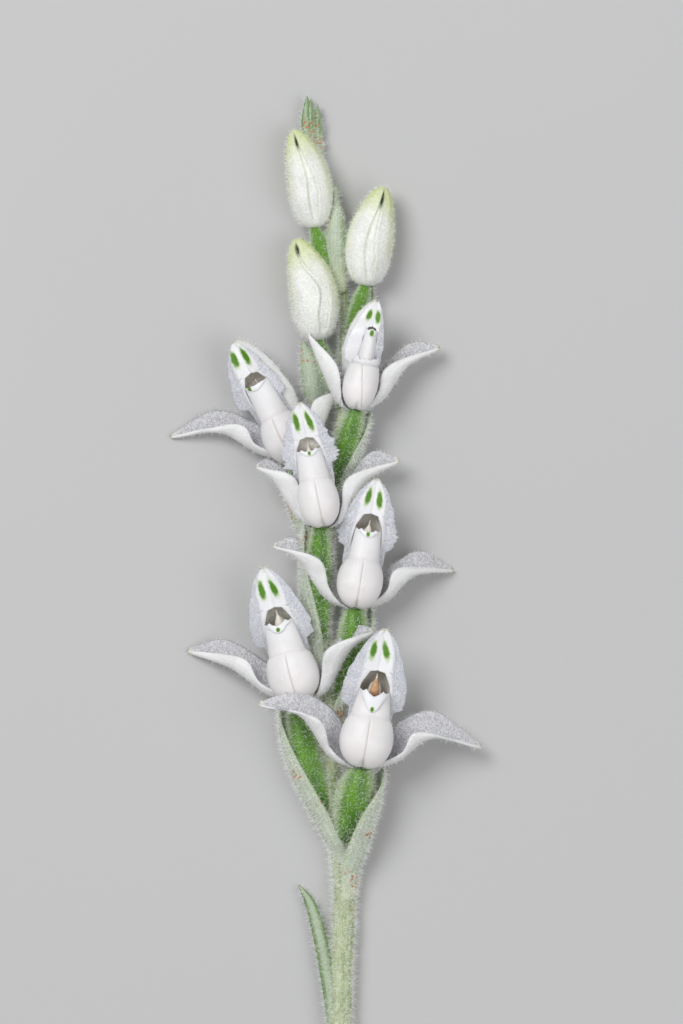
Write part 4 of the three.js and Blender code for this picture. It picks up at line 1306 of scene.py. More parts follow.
def lateral_lines(flower, hand, shape):
    """The keel of a lateral sepal, its near edge, which stands out to the front, and its far edge, which
    reaches up the spike. Each runs from the flower's foot over a bend and the knee to the tip."""
    foot = np.array(flower["foot"])
    knee_out, knee_up, knee_lift = shape["knee"]
    fold_out, fold_up = knee_out + shape["fold"][0], knee_up + shape["fold"][1]
    crest_out, crest_up = knee_out + 0.2, knee_up + shape["rise"]

    def place(out, up, lift):
        spot = foot + (hand * out, up, lift)
        spot[2] = max(spot[2], LOWEST_SHEET)
        return spot

    end = place(*shape["tip"])
    keel = [
        place(0.3, -0.12, 0.25), place(0.5 * knee_out + 0.1, 0.22 * knee_up, 0.5 * knee_lift + 0.1),
        place(*shape["knee"]), end,
    ]
    near = [
        place(0.85, 0.1, 0.8), place(0.72 * fold_out, 0.42 * fold_up, 0.5 * knee_lift + 0.75),
        place(fold_out, fold_up, knee_lift + 0.6), end + (0, 0.1, 0.12),
    ]
    far = [
        place(0.4, 1.3, -0.4), place(0.45 * crest_out, shape["swell"] * crest_up, 0.5 * knee_lift - 0.45),
        place(crest_out, crest_up, knee_lift - 0.6), end + (-0.1 * hand, 0.26, 0),
    ]
    return keel, near, far


def lateral_shell(flower, hand, shape):
    """A trough whose keel runs from the flower's foot over a knee to the tip."""
    s, t = grid(*LATERAL_GRID)
    low, near, far = (along(line, s) for line in lateral_lines(flower, hand, shape))
    edge = np.where((t < 0)[..., None], far, near)
    bend = np.abs(t) * math.pi / 2
    level, steep = 1 - np.cos(bend), np.sin(bend)
    middle = mix(low, edge, np.stack([level, level, steep], axis=-1))
    free = smoothstep(s, 0.15, 0.4) * smoothstep(s, 1.0, 0.8)
    wave = SEPAL_WAVE * waver(s * 7, 1.7, seed_of(flower, LATERAL_SEED + hand)) * np.abs(t) ** 2 * free
    veins = SEPAL_VEIN_HEIGHT * np.cos(t * SEPAL_VEIN_COUNT * math.pi) * free
    middle = middle + sheet_normals(middle) * (wave + veins)[..., None]
    facts = dict(tip=smoothstep(s, 0.94, 1.0), hairy=smoothstep(s, 0.08, 0.2))
    return sheet(above_ground(middle), sizes().sepal_thickness / MM, facts, hand)


def lip_rise(s, across, flower):
    """How high up the flower the lip's outer wall is at s, with the brim's notch and points."""
    sac_top = SAC_TOP * flower["sac"][1]
    stretch = (flower["brim"][0] - sac_top) / (BRIM_TOP - SAC_TOP)
    rise = profile(LIP_RISE, s)
    up = np.where(rise < SAC_TOP, rise * flower["sac"][1], sac_top + (rise - SAC_TOP) * stretch)
    return up + brim_line(across, flower) * smoothstep(s, 0.86, 1.0)


def brim_line(across, flower):
    """The brim's height over its mean: a notch between two small points, and raised corners."""
    side = np.abs(across) / flower["brim"][1]
    notch = -flower["dip"] * np.clip(1 - side / 0.5, 0, 1)
    points = flower.get("points", BRIM_POINTS) * np.clip(1 - np.abs(side - 0.55) / 0.15, 0, 1)
    return notch + points + BRIM_CORNERS * smoothstep(side, 0.75, 1.0)


def lip_wall(flower, s, angle, inset):
    """Where the lip's wall is at each s and angle, moved in by inset: across, up and out to the front."""
    rise, middle = profile(LIP_RISE, s), profile(LIP_MIDDLE, s)
    reach = np.where(np.sin(angle) > 0, profile(LIP_FRONT, s) - middle, middle - profile(LIP_BACK, s))
    neck = flower.get("neck", NECK_HALF_WIDTH)
    taper = smoothstep(rise, SHOULDER - TAPER_BELOW - flower.get("slope", 0), SHOULDER + TAPER_ABOVE)
    scale = np.where(
        rise < SAC_TOP,
        mix(flower["sac"][0], neck, taper),
        mix(neck, flower["brim"][1], smoothstep(rise, SAC_TOP, BRIM_TOP)),
    )
    swell = 1 + hump(rise, *SAC_BULGE) - hump(rise, *NECK_CREASE)
    across = (profile(LIP_HALF_WIDTH, s) * scale * swell - inset) * np.cos(angle)
    out = middle + (reach * swell - inset * np.sign(reach)) * np.sin(angle)
    cleft = hump(across, *FOOT_CLEFT) * smoothstep(rise, 0.6, 0.0)
    return across, lip_rise(s, across, flower) + cleft, out


def lip_relief(flower, across, up, front):
    """How far the lip's lines stand out or in, and how dark each is: painted shade in the groove, the crease
    and the dimple rings, the veins' own colour on the veins. front is 1 on the lip's front.
    """
    height = flower["sac"][1]
    brim = flower["brim"][0]
    sac_top = SAC_TOP * height
    in_sac = smoothstep(up, -0.1, 0.3) * smoothstep(up, sac_top - 0.2, sac_top - 0.7)
    from_groove = across - flower.get("hang", 0) * (up - GROOVE["hinge"])
    groove = hump(from_groove, 0, GROOVE["half_width"]) * in_sac * front
    relief = -GROOVE["depth"] * groove
    # The groove is painted darker: painted shade in the recess
    line = GROOVE["shade"] * groove
    widest = flower["sac"][0] * np.interp(up, *zip(*VEIN_SPREAD))
    fade = smoothstep(up, 1.4, 2.8) * smoothstep(up, brim, brim - 0.8) * front
    for place in VEIN_PLACES:
        vein = hump(np.abs(across), place * widest, VEIN["half_width"]) * fade
        relief = relief + VEIN["height"] * vein
        line = np.maximum(line, VEIN["shade"] * vein)
    crease_up = CREASE_RISE * height + 0.05 * np.cos(across * 2)
    crease = hump(up, crease_up, CREASE["half_width"]) * front
    relief = relief - CREASE["depth"] * crease
    # The crease is painted darker: painted shade
    line = np.maximum(line, CREASE["shade"] * crease)
    for x, y in flower["dimples"]:
        reach = np.hypot(across - x, up - y) / DIMPLE["radius"]
        ring, pit = hump(reach, 1, 0.35) * front, hump(reach, 0, 0.6) * front
        relief = relief + DIMPLE["ring"] * ring - DIMPLE["pit"] * pit
        # The dimple's ring is painted darker: painted shade of the dimple
        line = np.maximum(line, DIMPLE["shade"] * ring)
    return relief, line


def lip_shell(flower):
    """The lip: a round sac below a narrower neck, open at the brim, with its wall turned in."""
    even = round_steps(LIP_SIDES)[None, :]
    angle = even + 0.5 * np.cos(even)
    across, up, out = lip_wall(flower, along_steps(LIP_ROWS, 0.35)[:, None], angle, 0)
    relief, line = lip_relief(flower, across, up, smoothstep(np.sin(angle), 0.1, 0.5))
    outer = point(across, up, out + relief)
    inner_s = np.linspace(*LIP_INNER_REACH, LIP_INNER_ROWS)[:, None]
    inner = point(*lip_wall(flower, inner_s, angle, sizes().lip_wall / MM))
    rings = np.concatenate([outer, inner]) * flower["size"]
    neck = smoothstep(up, CREASE_RISE * flower["sac"][1] + 0.2, flower["brim"][0] - 0.3)
    bright = NECK_BRIGHTNESS * neck * (flower["tongue"] < LONGEST_BRIGHT_TONGUE)
    clean = np.zeros((LIP_INNER_ROWS, LIP_SIDES))
    facts = dict(
        line=np.concatenate([line, clean]), bright=np.concatenate([bright, clean]), spot=NO_SPOT,
    )
    shells = [tube(placed(rings, flower), facts), tongue_shell(flower)]
    if "collar" in flower:
        shells.append(collar_shell(flower))
    return joined(shells)


def tongue_shell(flower):
    """The lip's tip, folded down over the neck, with its green dot."""
    s, t = grid(*TONGUE_GRID)
    brim, half_width = flower["brim"]
    across = t * profile(TONGUE_SHAPE, s) * half_width
    low = brim - flower["dip"] - TONGUE_LENGTH * flower["tongue"]
    up = mix(brim + brim_line(across, flower), low, s)
    ratio = np.clip(across / (half_width + 0.15 * (brim - up) + 0.02), -0.99, 0.99)
    over = TONGUE_CLEARANCE + TONGUE_ARCH * np.sin(math.pi * s)
    out = NECK_MIDDLE + NECK_DEPTH * np.sqrt(1 - ratio**2) + over
    dot_width, dot_height = flower.get("dot_size", DOT_SIZE)
    dot_up = low + DOT_MARGIN + dot_height
    field = np.hypot((across - flower.get("dot", 0)) / dot_width, (up - dot_up) / dot_height)
    middle = point(across, up, out) * flower["size"]
    return sheet(placed(middle, flower), TONGUE_THICKNESS, dict(spot=field, bright=1.0), 1)


def collar_shell(flower):
    """A ragged white frill that stands up from a lip's shoulder, round the front of its neck."""
    s, t = grid(*COLLAR_GRID)
    shoulder_up = CREASE_RISE * flower["sac"][1]
    seed = seed_of(flower, COLLAR_SEED)
    raggedness = 0.3 + 1.6 * teeth(t + 1, COLLAR_TOOTH, seed) + 0.8 * smoothstep(t, -0.4, -0.7)
    top = shoulder_up + 0.03 + flower["collar"] * raggedness
    flutes = COLLAR_FLUTE * waver(t, 0.42, seed + 1) * smoothstep(s, 0.3, 1.0)
    across = t * COLLAR_SPAN * flower["sac"][0] * mix(*COLLAR_HALF_WIDTH, s)
    leaning = flower["hang"] * across * smoothstep(s, 0.2, 0.9)
    up = mix(shoulder_up - COLLAR_FOOT, top, s) - leaning
    out = COLLAR_MIDDLE + COLLAR_DEPTH * np.sqrt(1 - (COLLAR_SPAN * t) ** 2) + mix(-0.11, 0.01, s) + flutes
    middle = point(across, up, out) * flower["size"]
    return sheet(placed(middle, flower), COLLAR_THICKNESS, dict(spot=NO_SPOT, bright=COLLAR_BRIGHTNESS), 1)


def column_shells(flower):
    """The column that stands in the mouth, with its beak and the two arms beside it."""
    s, angle = turns(*COLUMN_GRID)
    body = spindle(COLUMN_ROUTE, profile(COLUMN_RADII, s), s, angle)
    s, angle = turns(*BEAK_GRID)
    foot_radius, tip_radius = BEAK_RADII
    beak = spindle(BEAK_ROUTE, foot_radius * (1 - s) ** 0.8 + tip_radius, s, angle)
    arms = [
        spindle([(hand * out, up, lift) for out, up, lift in ARM_ROUTE], ARM_RADIUS, s, angle)
        for hand, _ in HANDS
    ]
    return [tube(placed(rings * flower["size"], flower), {}) for rings in (body, beak, *arms)]


def anther_shell(flower):
    """The anther in front of the column, with a crease along it."""
    s, angle = turns(*ANTHER_GRID)
    radius = ANTHER_RADIUS * np.sin(math.pi * s**0.72) ** 0.85 + 0.01
    crease = 1 - hump(angle, *ANTHER_CREASE)
    rings = spindle(ANTHER_ROUTE, radius * crease, s, angle, ANTHER_FLATNESS) * flower["size"]
    return tube(placed(rings, flower), dict(pale=float(flower["anther"] == "pale")))


def ovary_route(owner, start):
    """From start, over the bow of the owner's ovary, to the foot of the owner's flower or bud."""
    ovary = owner["ovary"]
    top = np.array(owner["foot"]) + (ovary["lean"], 0, 0)
    return [np.array(start), (np.array(ovary["base"]) + top) / 2 + ovary["bow"], top]


def ovary_shell(owner):
    """A ribbed ovary, twisted a little along its length."""
    s, angle = turns(*OVARY_GRID)
    ribs = np.cos(RIB_COUNT * angle + RIB_TWIST * s)
    radius = owner["ovary"]["radius"] * profile(OVARY_SHAPE, s)
    radius = radius * (1 + RIB_HEIGHT * ribs * smoothstep(s, 0.02, 0.2))
    rings = spindle(ovary_route(owner, owner["ovary"]["base"]), radius, s, angle)
    # The paler flanks are a painted sheen of the hairs seen side-on; the ovary's green is lessened there
    frost = 0.75 * smoothstep(np.abs(np.cos(angle)), 0.45, 0.95)
    facts = dict(
        # shade is painted shade: darker in the grooves between the ribs and towards the foot
        shade=0.25 - 0.2 * ribs + 0.3 * smoothstep(s, 0.35, 0.0), frost=frost, green=1 - 0.5 * frost,
        hairy=smoothstep(s, 0.0, 0.1),
    )
    return tube(rings, facts)


def stem_at(up):
    """The point of the stem's axis that is that far up the spike, and the stem's radius there."""
    s = np.linspace(0, 1, 400)
    axis = along(STEM_ROUTE, s)
    nearest = np.argmin(np.abs(axis[:, 1] - up))
    return axis[nearest], profile(STEM_RADII, s)[nearest]


def bract_shell(owner):
    """A bract that clasps its ovary, grown from the stem below it."""
    shape = owner["bract"]
    route = ovary_route(owner, shape.get("base", owner["ovary"]["base"]))
    root, stem_radius = stem_at(route[0][1] - BRACT_DESCENT)
    s, t = grid(*BRACT_GRID)
    free = np.clip(s * 1.5 - 0.5, 0, 1)
    angle = np.radians(shape["towards"] + t * profile(BRACT_SPREAD, free))
    veins = np.cos(t * BRACT_VEIN_COUNT * math.pi)
    full = shape["radius"] * profile(BRACT_SHAPE, free)
    radius = mix(BRACT_HUG * stem_radius, full, smoothstep(s, 0.0, 0.36))
    relief = BRACT_VEIN_HEIGHT * veins + BRACT_WAVE * waver(s * 6 + 2 * t, 2.0, 5)
    radius = radius + relief * smoothstep(s, 0.1, 0.4)
    middle = above_ground(spindle([root, *route], radius, s, angle))
    return sheet(middle, sizes().bract_thickness / MM, bract_facts(s, t, veins, 0), 1)


def bract_facts(s, t, veins, green):
    """What a bract's finish and its hairs go by: dark veins and edges, the stem's colour at its foot."""
    edge = smoothstep(np.abs(t), 0.8, 1.0)
    return dict(
        vein=np.clip(0.3 - 0.3 * veins + 0.6 * edge, 0, 1), hairy=smoothstep(s, 0.0, 0.05),
        foot=0.85 * smoothstep(s, 0.3, 0.05),
        green=green * (0.35 + 0.65 * smoothstep(np.abs(t), 0.2, 0.75)),
    )


def blade_shell(blade):
    """A bract that stands free, arched across."""
    s, t = grid(*BLADE_GRID)
    side, lift = cross_axes(blade["route"], s)
    half_width = profile(blade["half_widths"], s)
    veins = np.cos(t * BLADE_VEIN_COUNT * math.pi)
    arch = BLADE_VEIN_HEIGHT * veins * smoothstep(s, 1.0, 0.8) - BLADE_ARCH * half_width * t * t
    middle = along(blade["route"], s) + side * (half_width * t)[..., None] + lift * arch[..., None]
    facts = bract_facts(s, t, veins, blade.get("green", BLADE_GREEN))
    return sheet(above_ground(middle), sizes().bract_thickness / MM, facts, -1)


def bud_seams(bud, s, degrees):
    """A bud's relief and how dark its seams are, and where the smooth strip between two sepals is."""
    seam_at, strip = profile(bud["seam"], s), profile(STRIP_DEGREES, s)
    away = np.abs(degrees_off(degrees, seam_at))
    in_strip = smoothstep(away, strip + 1.5, strip - 1.5)
    relief = hump(away - strip, *STRIP_LIP) - STRIP_DEPTH * in_strip
    seam = hump(away, strip, 2)
    for offset in OTHER_SEAMS:
        away = degrees_off(degrees, seam_at + offset)
        relief += hump(away, *SEAM_SWELL) - hump(away, *SEAM_DEPTH)
        seam = np.maximum(seam, hump(away, *SEAM_SHADE))
    return relief, seam, in_strip


def bud_shells(bud):
    """A closed bud: three sepals that meet in seams, with a slit left open near the tip, and its ovary."""
    foot, tip = np.array(bud["foot"]), np.array(bud["tip"])
    route = [foot, (foot + tip) / 2 + (bud["bow"], 0, 0.1), tip]
    s, angle = turns(*BUD_GRID)
    degrees = np.degrees(angle)
    relief, seam, in_strip = bud_seams(bud, s, degrees)
    slit_s, slit_angle, slit_length, slit_width = bud["slit"]
    slit = hump(s, slit_s, slit_length) * hump(degrees_off(degrees, slit_angle), 0, slit_width)
    present = smoothstep(s, 0.03, 0.15) * smoothstep(s, 1.0, 0.93)
    ripples = BUD_RIPPLE * np.cos(9 * angle)
    radius = bud["radius"] * np.sqrt(np.maximum(1e-5, np.sin(math.pi * s**0.75)))
    radius = radius + (relief + ripples) * present - SLIT_DEPTH * slit
    flank = smoothstep(np.abs(degrees_off(degrees, UPPER_SIDE)), 30, 95) * smoothstep(s, 0.15, 0.5)
    tint = 0.85 * flank + 0.8 * smoothstep(s, 0.62, 0.95) + 0.2 * seam
    hairy = smoothstep(s, 0.0, 0.06) * (1 - slit) * (1 - in_strip)
    facts = dict(
        flank=np.clip(tint, 0, 1) * (1 - 0.8 * in_strip),
        # slit marks the opening, painted dark green as painted shade of the gap
        slit=np.clip(1.5 * slit, 0, 1),
        seam=0.4 * seam * present,
        hairy=hairy * mix(0.3, 1.2, smoothstep(np.abs(np.cos(angle)), 0.5, 0.9)),
    )
    return [tube(spindle(route, radius, s, angle), facts), ovary_shell(bud)]


def young_bract_shells():
    """The youngest bracts, each still closed to a ridged point."""
    shells = []
    for number, young in enumerate(YOUNG_BRACTS):
        s, angle = turns(*YOUNG_GRID)
        radius = young["radius"] * (1 - s**4) ** 0.9 + 0.015
        radius = radius * (1 + YOUNG_RIDGE_HEIGHT * np.cos(YOUNG_RIDGES * angle + number))
        streaks = np.cos(YOUNG_RIDGES * angle)
        facts = dict(
            vein=0.35 + 0.3 * streaks, green=(0.72 + 0.25 * streaks) * smoothstep(s, 0.2, 0.7),
            hairy=smoothstep(s, 0.0, 0.1),
        )
        shells.append(tube(spindle(young["route"], radius, s, angle), facts))
    return shells


# Geometry node trees


def new_geometry_tree(name, inputs):
    """An empty geometry node tree: one geometry in, with the named inputs after it, and one out."""
    tree = bpy.data.node_groups.new(name, "GeometryNodeTree")
    for label, kind in (("Geometry", "NodeSocketGeometry"), *inputs):
        tree.interface.new_socket(name=label, in_out="INPUT", socket_type=kind)
    tree.interface.new_socket(name="Geometry", in_out="OUTPUT", socket_type="NodeSocketGeometry")
    return tree, tree.nodes.new("NodeGroupInput"), tree.nodes.new("NodeGroupOutput")


def named_value(tree, place, name):
    inputs = {"Name": name}
    node = add_node(tree, "GeometryNodeInputNamedAttribute", place, inputs, data_type="FLOAT")
    return node.outputs["Attribute"]


def scaled(tree, place, vector, factor):
    inputs = {0: vector, "Scale": factor}
    return add_node(tree, "ShaderNodeVectorMath", place, inputs, operation="SCALE").outputs[0]


def vector_of(tree, place, **parts):
    """A vector from the values or outputs given as X, Y and Z."""
    return add_node(tree, "ShaderNodeCombineXYZ", place, parts).outputs[0]


def moved(tree, place, geometry, **to):
    """The geometry with its points at another Position, or moved by an Offset."""
    inputs = {"Geometry": geometry, **to}
    return add_node(tree, "GeometryNodeSetPosition", place, inputs).outputs["Geometry"]


def finished_above(tree, column, geometry, start, end):
    """End the tree with the geometry, nothing of it lower than the input Floor, in the input Finish."""
    where = add_node(tree, "GeometryNodeInputPosition", (column, -2))
    parts = add_node(tree, "ShaderNodeSeparateXYZ", (column + 1, -2), {"Vector": where.outputs[0]}).outputs
    height = math_node(tree, "MAXIMUM", (column + 2, -2), parts["Z"], start.outputs["Floor"])
    kept = vector_of(tree, (column + 3, -2), X=parts["X"], Y=parts["Y"], Z=height)
    above = moved(tree, (column + 3, 0), geometry, Position=kept)
    real = add_node(tree, "GeometryNodeRealizeInstances", (column + 4, 0), {"Geometry": above})
    inputs = {"Geometry": real.outputs["Geometry"], "Material": start.outputs["Finish"]}
    finished = add_node(tree, "GeometryNodeSetMaterial", (column + 5, 0), inputs)
    tree.links.new(finished.outputs["Geometry"], end.inputs["Geometry"])
    return tree


def stem_tree():
    """A round stem along a line of points: each point carries its radius, and the skin has low ridges."""
    tree, start, end = new_geometry_tree(
        "stem_along_line",
        [
            ("Sides", "NodeSocketInt"), ("Ridge Height", "NodeSocketFloat"),
            ("Ridges Per Metre", "NodeSocketFloat"), ("Floor", "NodeSocketFloat"),
            ("Finish", "NodeSocketMaterial"),
        ],
    )
    given = start.outputs
    line = add_node(tree, "GeometryNodeMeshToCurve", (1, 0), {"Mesh": given["Geometry"]})
    width = named_value(tree, (1, -1), "width")
    sized = add_node(
        tree, "GeometryNodeSetCurveRadius", (2, 0), {"Curve": line.outputs["Curve"], "Radius": width},
    )
    ring = add_node(
        tree, "GeometryNodeCurvePrimitiveCircle", (2, -1), {"Resolution": given["Sides"], "Radius": 1.0},
    )
    skin = add_node(
        tree, "GeometryNodeCurveToMesh", (3, 0),
        {"Curve": sized.outputs["Curve"], "Profile Curve": ring.outputs["Curve"], "Fill Caps": True},
    )
    if "Scale" in skin.inputs:
        tree.links.new(width, skin.inputs["Scale"])
    place = add_node(tree, "GeometryNodeInputPosition", (2, -3))
    drawn_out = {0: place.outputs[0], 1: (1.0, 0.1, 1.0)}
    stretched = add_node(tree, "ShaderNodeVectorMath", (3, -3), drawn_out, operation="MULTIPLY")
    bumps = add_node(
        tree, "ShaderNodeTexNoise", (4, -3),
        {"Vector": stretched.outputs[0], "Scale": given["Ridges Per Metre"], "Detail": 2.0},
    )
    centred = math_node(tree, "SUBTRACT", (5, -3), bumps.outputs[0], 0.5)
    height = math_node(tree, "MULTIPLY", (6, -3), centred, given["Ridge Height"])
    normal = add_node(tree, "GeometryNodeInputNormal", (5, -2))
    push = scaled(tree, (7, -2), normal.outputs[0], height)
    ridged = moved(tree, (7, 0), skin.outputs["Mesh"], Offset=push)
    merged = add_node(
        tree, "GeometryNodeMergeByDistance", (8, 0), {"Geometry": ridged, "Distance": 0.001 * MM},
    )
    return finished_above(tree, 9, merged.outputs["Geometry"], start, end)


def random_node(tree, place, kind, socket_kind, low, high, seed):
    """A random value or vector for each point, between low and high."""
    node = add_node(tree, "FunctionNodeRandomValue", place, {"Seed": seed}, data_type=kind)
    ends = [socket for socket in node.inputs if socket.type == socket_kind]
    for socket, value in zip(ends, (low, high)):
        if isinstance(value, NodeSocket):
            tree.links.new(value, socket)
        else:
            socket.default_value = value
    return next(socket for socket in node.outputs if socket.type == socket_kind)


def bent_hair(tree):
    """One hair, 1 long and 1 thick at its foot, that bows to one side."""
    spike = add_node(
        tree, "GeometryNodeMeshCone", (0, 2),
        {
            "Vertices": 3, "Side Segments": 2, "Fill Segments": 1, "Radius Top": 0.0, "Radius Bottom": 0.5,
            "Depth": 1.0,
        },
    )
    place = add_node(tree, "GeometryNodeInputPosition", (0, 3))
    height = add_node(tree, "ShaderNodeSeparateXYZ", (1, 3), {"Vector": place.outputs[0]}).outputs["Z"]
    arch = math_node(tree, "MULTIPLY", (2, 3), height, math_node(tree, "SUBTRACT", (2, 4), 1.0, height))
    shift = vector_of(tree, (3, 3), X=math_node(tree, "MULTIPLY", (3, 4), arch, HAIR_BOW))
    return moved(tree, (3, 2), spike.outputs["Mesh"], Offset=shift)


def hair_tree():
    """Hairs over a surface, as many as its hairy attribute allows, each a thin bent spike."""
    tree, start, end = new_geometry_tree(
        "hair_coat",
        [
            ("Hairs Per Area", "NodeSocketFloat"), ("Length", "NodeSocketFloat"),
            ("Thickness", "NodeSocketFloat"), ("Lean", "NodeSocketFloat"), ("Floor", "NodeSocketFloat"),
            ("Seed", "NodeSocketInt"), ("Finish", "NodeSocketMaterial"),
        ],
    )
    given = start.outputs
    hairy = named_value(tree, (0, -1), "hairy")
    density = math_node(tree, "MULTIPLY", (1, -1), hairy, given["Hairs Per Area"])
    roots = add_node(
        tree, "GeometryNodeDistributePointsOnFaces", (2, 0),
        {"Mesh": given["Geometry"], "Density": density, "Seed": given["Seed"]},
    )
    most = vector_of(tree, (1, -3), X=given["Lean"], Y=given["Lean"], Z=math.pi)
    least = scaled(tree, (2, -3), most, -1.0)
    swing = random_node(tree, (3, -3), "FLOAT_VECTOR", "VECTOR", least, most, given["Seed"])
    turned = add_node(
        tree, "FunctionNodeRotateRotation", (4, -1),
        {"Rotation": roots.outputs["Rotation"], "Rotate By": swing}, rotation_space="LOCAL",
    )
    other_seed = math_node(tree, "ADD", (2, -5), given["Seed"], 11.0)
    share = random_node(tree, (3, -5), "FLOAT", "VALUE", *HAIR_LENGTH_SHARES, other_seed)
    tall = math_node(tree, "MULTIPLY", (4, -4), share, given["Length"])
    scale = vector_of(tree, (5, -4), X=given["Thickness"], Y=given["Thickness"], Z=tall)
    coat = add_node(
        tree, "GeometryNodeInstanceOnPoints", (5, 0),
        {
            "Points": roots.outputs["Points"], "Instance": bent_hair(tree),
            "Rotation": turned.outputs["Rotation"], "Scale": scale,
        },
    )
    real = add_node(tree, "GeometryNodeRealizeInstances", (6, 0), {"Geometry": coat.outputs["Instances"]})
    return finished_above(tree, 7, real.outputs["Geometry"], start, end)


def grown_mesh(name, source, tree, values):
    """The plain mesh that a node tree makes from a source mesh, with its inputs set by identifier."""
    carrier = bpy.data.objects.new(name + "_carrier", source)
    bpy.context.scene.collection.objects.link(carrier)
    modifier = carrier.modifiers.new("nodes", "NODES")
    modifier.node_group = tree
    sockets = {item.name: item.identifier for item in tree.interface.items_tree if item.in_out == "INPUT"}
    for label, value in values.items():
        modifier[sockets[label]] = value
    evaluated = carrier.evaluated_get(bpy.context.evaluated_depsgraph_get())
    mesh = bpy.data.meshes.new_from_object(evaluated)
    mesh.name = name
    carrier.modifiers.remove(modifier)
    bpy.data.objects.remove(carrier)
    return mesh


# Stage


def add_floor(scene):
    mesh = bpy.data.meshes.new("floor")
    w = FLOOR_HALF_WIDTH
    mesh.from_pydata([(-w, -w, 0), (w, -w, 0), (w, w, 0), (-w, w, 0)], [], [(0, 1, 2, 3)])
    mesh.materials.append(once("floor", floor_finish))
    floor = bpy.data.objects.new("floor", mesh)
    scene.collection.objects.link(floor)


def add_light(scene, middle, name, place, size, power):
    """A soft round light that is aimed at the middle of the view."""
    light = bpy.data.lights.new(name, "AREA")
    light.shape = "DISK"
    light.size = size
    light.energy = power
    lamp = bpy.data.objects.new(name, light)
    lamp.location = middle + place
    x, y, z = place
    lamp.rotation_euler = (0, math.atan2(math.hypot(x, y), z), math.atan2(y, x))
    lamp.visible_camera = False
    scene.collection.objects.link(lamp)


def add_camera(scene, middle):
    """A camera straight above the middle of the view, which looks down."""
    camera = bpy.data.cameras.new("camera")
    camera.sensor_fit = "VERTICAL"
    camera.sensor_height = SENSOR_HEIGHT
    camera.lens = SENSOR_HEIGHT * CAMERA_HEIGHT / (VIEW_HEIGHT * MM)
    camera.clip_start, camera.clip_end = CAMERA_RANGE
    holder = bpy.data.objects.new("camera", camera)
    holder.location = middle + (0, 0, CAMERA_HEIGHT)
    scene.collection.objects.link(holder)
    scene.camera = holder


# Operators


class ORCHID_OT_stem(Operator):
    """Grow the stem along its route"""

    bl_idname = "orchid.stem"
    bl_label = "Stem"

    def execute(self, context):
        s = np.linspace(0, 1, STEM_POINTS)
        line = bpy.data.meshes.new("stem_line")
        points = along(STEM_ROUTE, s) * MM + SHIFT
        line.from_pydata(points.tolist(), [(i, i + 1) for i in range(len(s) - 1)], [])
        width = profile(STEM_RADII, s) * MM
        set_fact(line, "width", width)
        mesh = grown_mesh(
            "stem_round", line, stem_tree(),
            {
                "Sides": STEM_SIDES, "Ridge Height": RIDGE_HEIGHT * MM, "Ridges Per Metre": RIDGES_PER_METRE,
                "Floor": 0.0, "Finish": once("stem_skin", stem_finish),
            },
        )
        mesh.shade_smooth()
        set_fact(mesh, "hairy", np.ones(len(mesh.vertices)))
        add_piece("stem_round", mesh, "stem", None, "stem")
        return {"FINISHED"}


class ORCHID_OT_ovaries(Operator):
    """Make the ovary of each open flower, with its column and anther"""

    bl_idname = "orchid.ovaries"
    bl_label = "Ovaries and Columns"

    def execute(self, context):
        for flower in FLOWERS:
            name = flower["name"]
            ovary = mesh_of(name + "_ribbed_ovary", ovary_shell(flower))
            add_piece(ovary.name, ovary, "ovary", once("ovary_skin", ovary_finish), name + "_ovary")
            column = mesh_of(name + "_column", joined(column_shells(flower)))
            add_piece(column.name, column, "ovary", once("column_skin", column_finish))
            anther = mesh_of(name + "_anther", anther_shell(flower))
            add_piece(anther.name, anther, "ovary", once("anther_skin", anther_finish))
        return {"FINISHED"}


class ORCHID_OT_lips(Operator):
    """Make the lip of each open flower"""

    bl_idname = "orchid.lips"
    bl_label = "Lips"

    def execute(self, context):
        for flower in FLOWERS:
            mesh = mesh_of(flower["name"] + "_hollow_lip", lip_shell(flower))
            add_piece(mesh.name, mesh, "lip", once("lip_skin", lip_finish), flower["name"] + "_lip")
        return {"FINISHED"}


class ORCHID_OT_petals(Operator):
    """Make the two petals of each hood"""

    bl_idname = "orchid.petals"
    bl_label = "Petals"

    def execute(self, context):
        for flower in FLOWERS:
            for hand, side in HANDS:
                name = flower["name"] + "_torn_petal_" + side
                mesh = mesh_of(name, petal_shell(flower, hand))
                node = flower["name"] + "_petal_" + side
                add_piece(name, mesh, "petal", once("petal_skin", petal_finish), node)
        return {"FINISHED"}


class ORCHID_OT_sepals(Operator):
    """Make the dorsal sepal and the two lateral sepals of each flower"""

    bl_idname = "orchid.sepals"
    bl_label = "Sepals"

    def execute(self, context):
        skin = once("sepal_skin", sepal_finish)
        for flower in FLOWERS:
            name = flower["name"]
            hood = mesh_of(name + "_hood_sepal", dorsal_shell(flower))
            add_piece(hood.name, hood, "sepal", skin, name + "_dorsal_sepal")
            for hand, side in HANDS:
                mesh = mesh_of(f"{name}_{side}_trough_sepal", lateral_shell(flower, hand, flower[side]))
                add_piece(mesh.name, mesh, "sepal", skin, f"{name}_lateral_sepal_{side}")
        return {"FINISHED"}


class ORCHID_OT_buds(Operator):
    """Make the closed buds, each with its ovary"""

    bl_idname = "orchid.buds"
    bl_label = "Buds"

    def execute(self, context):
        for bud in BUDS:
            mesh = mesh_of(bud["name"] + "_closed", joined(bud_shells(bud)))
            add_piece(mesh.name, mesh, "bud", once("bud_skin", bud_finish), bud["name"])
        return {"FINISHED"}


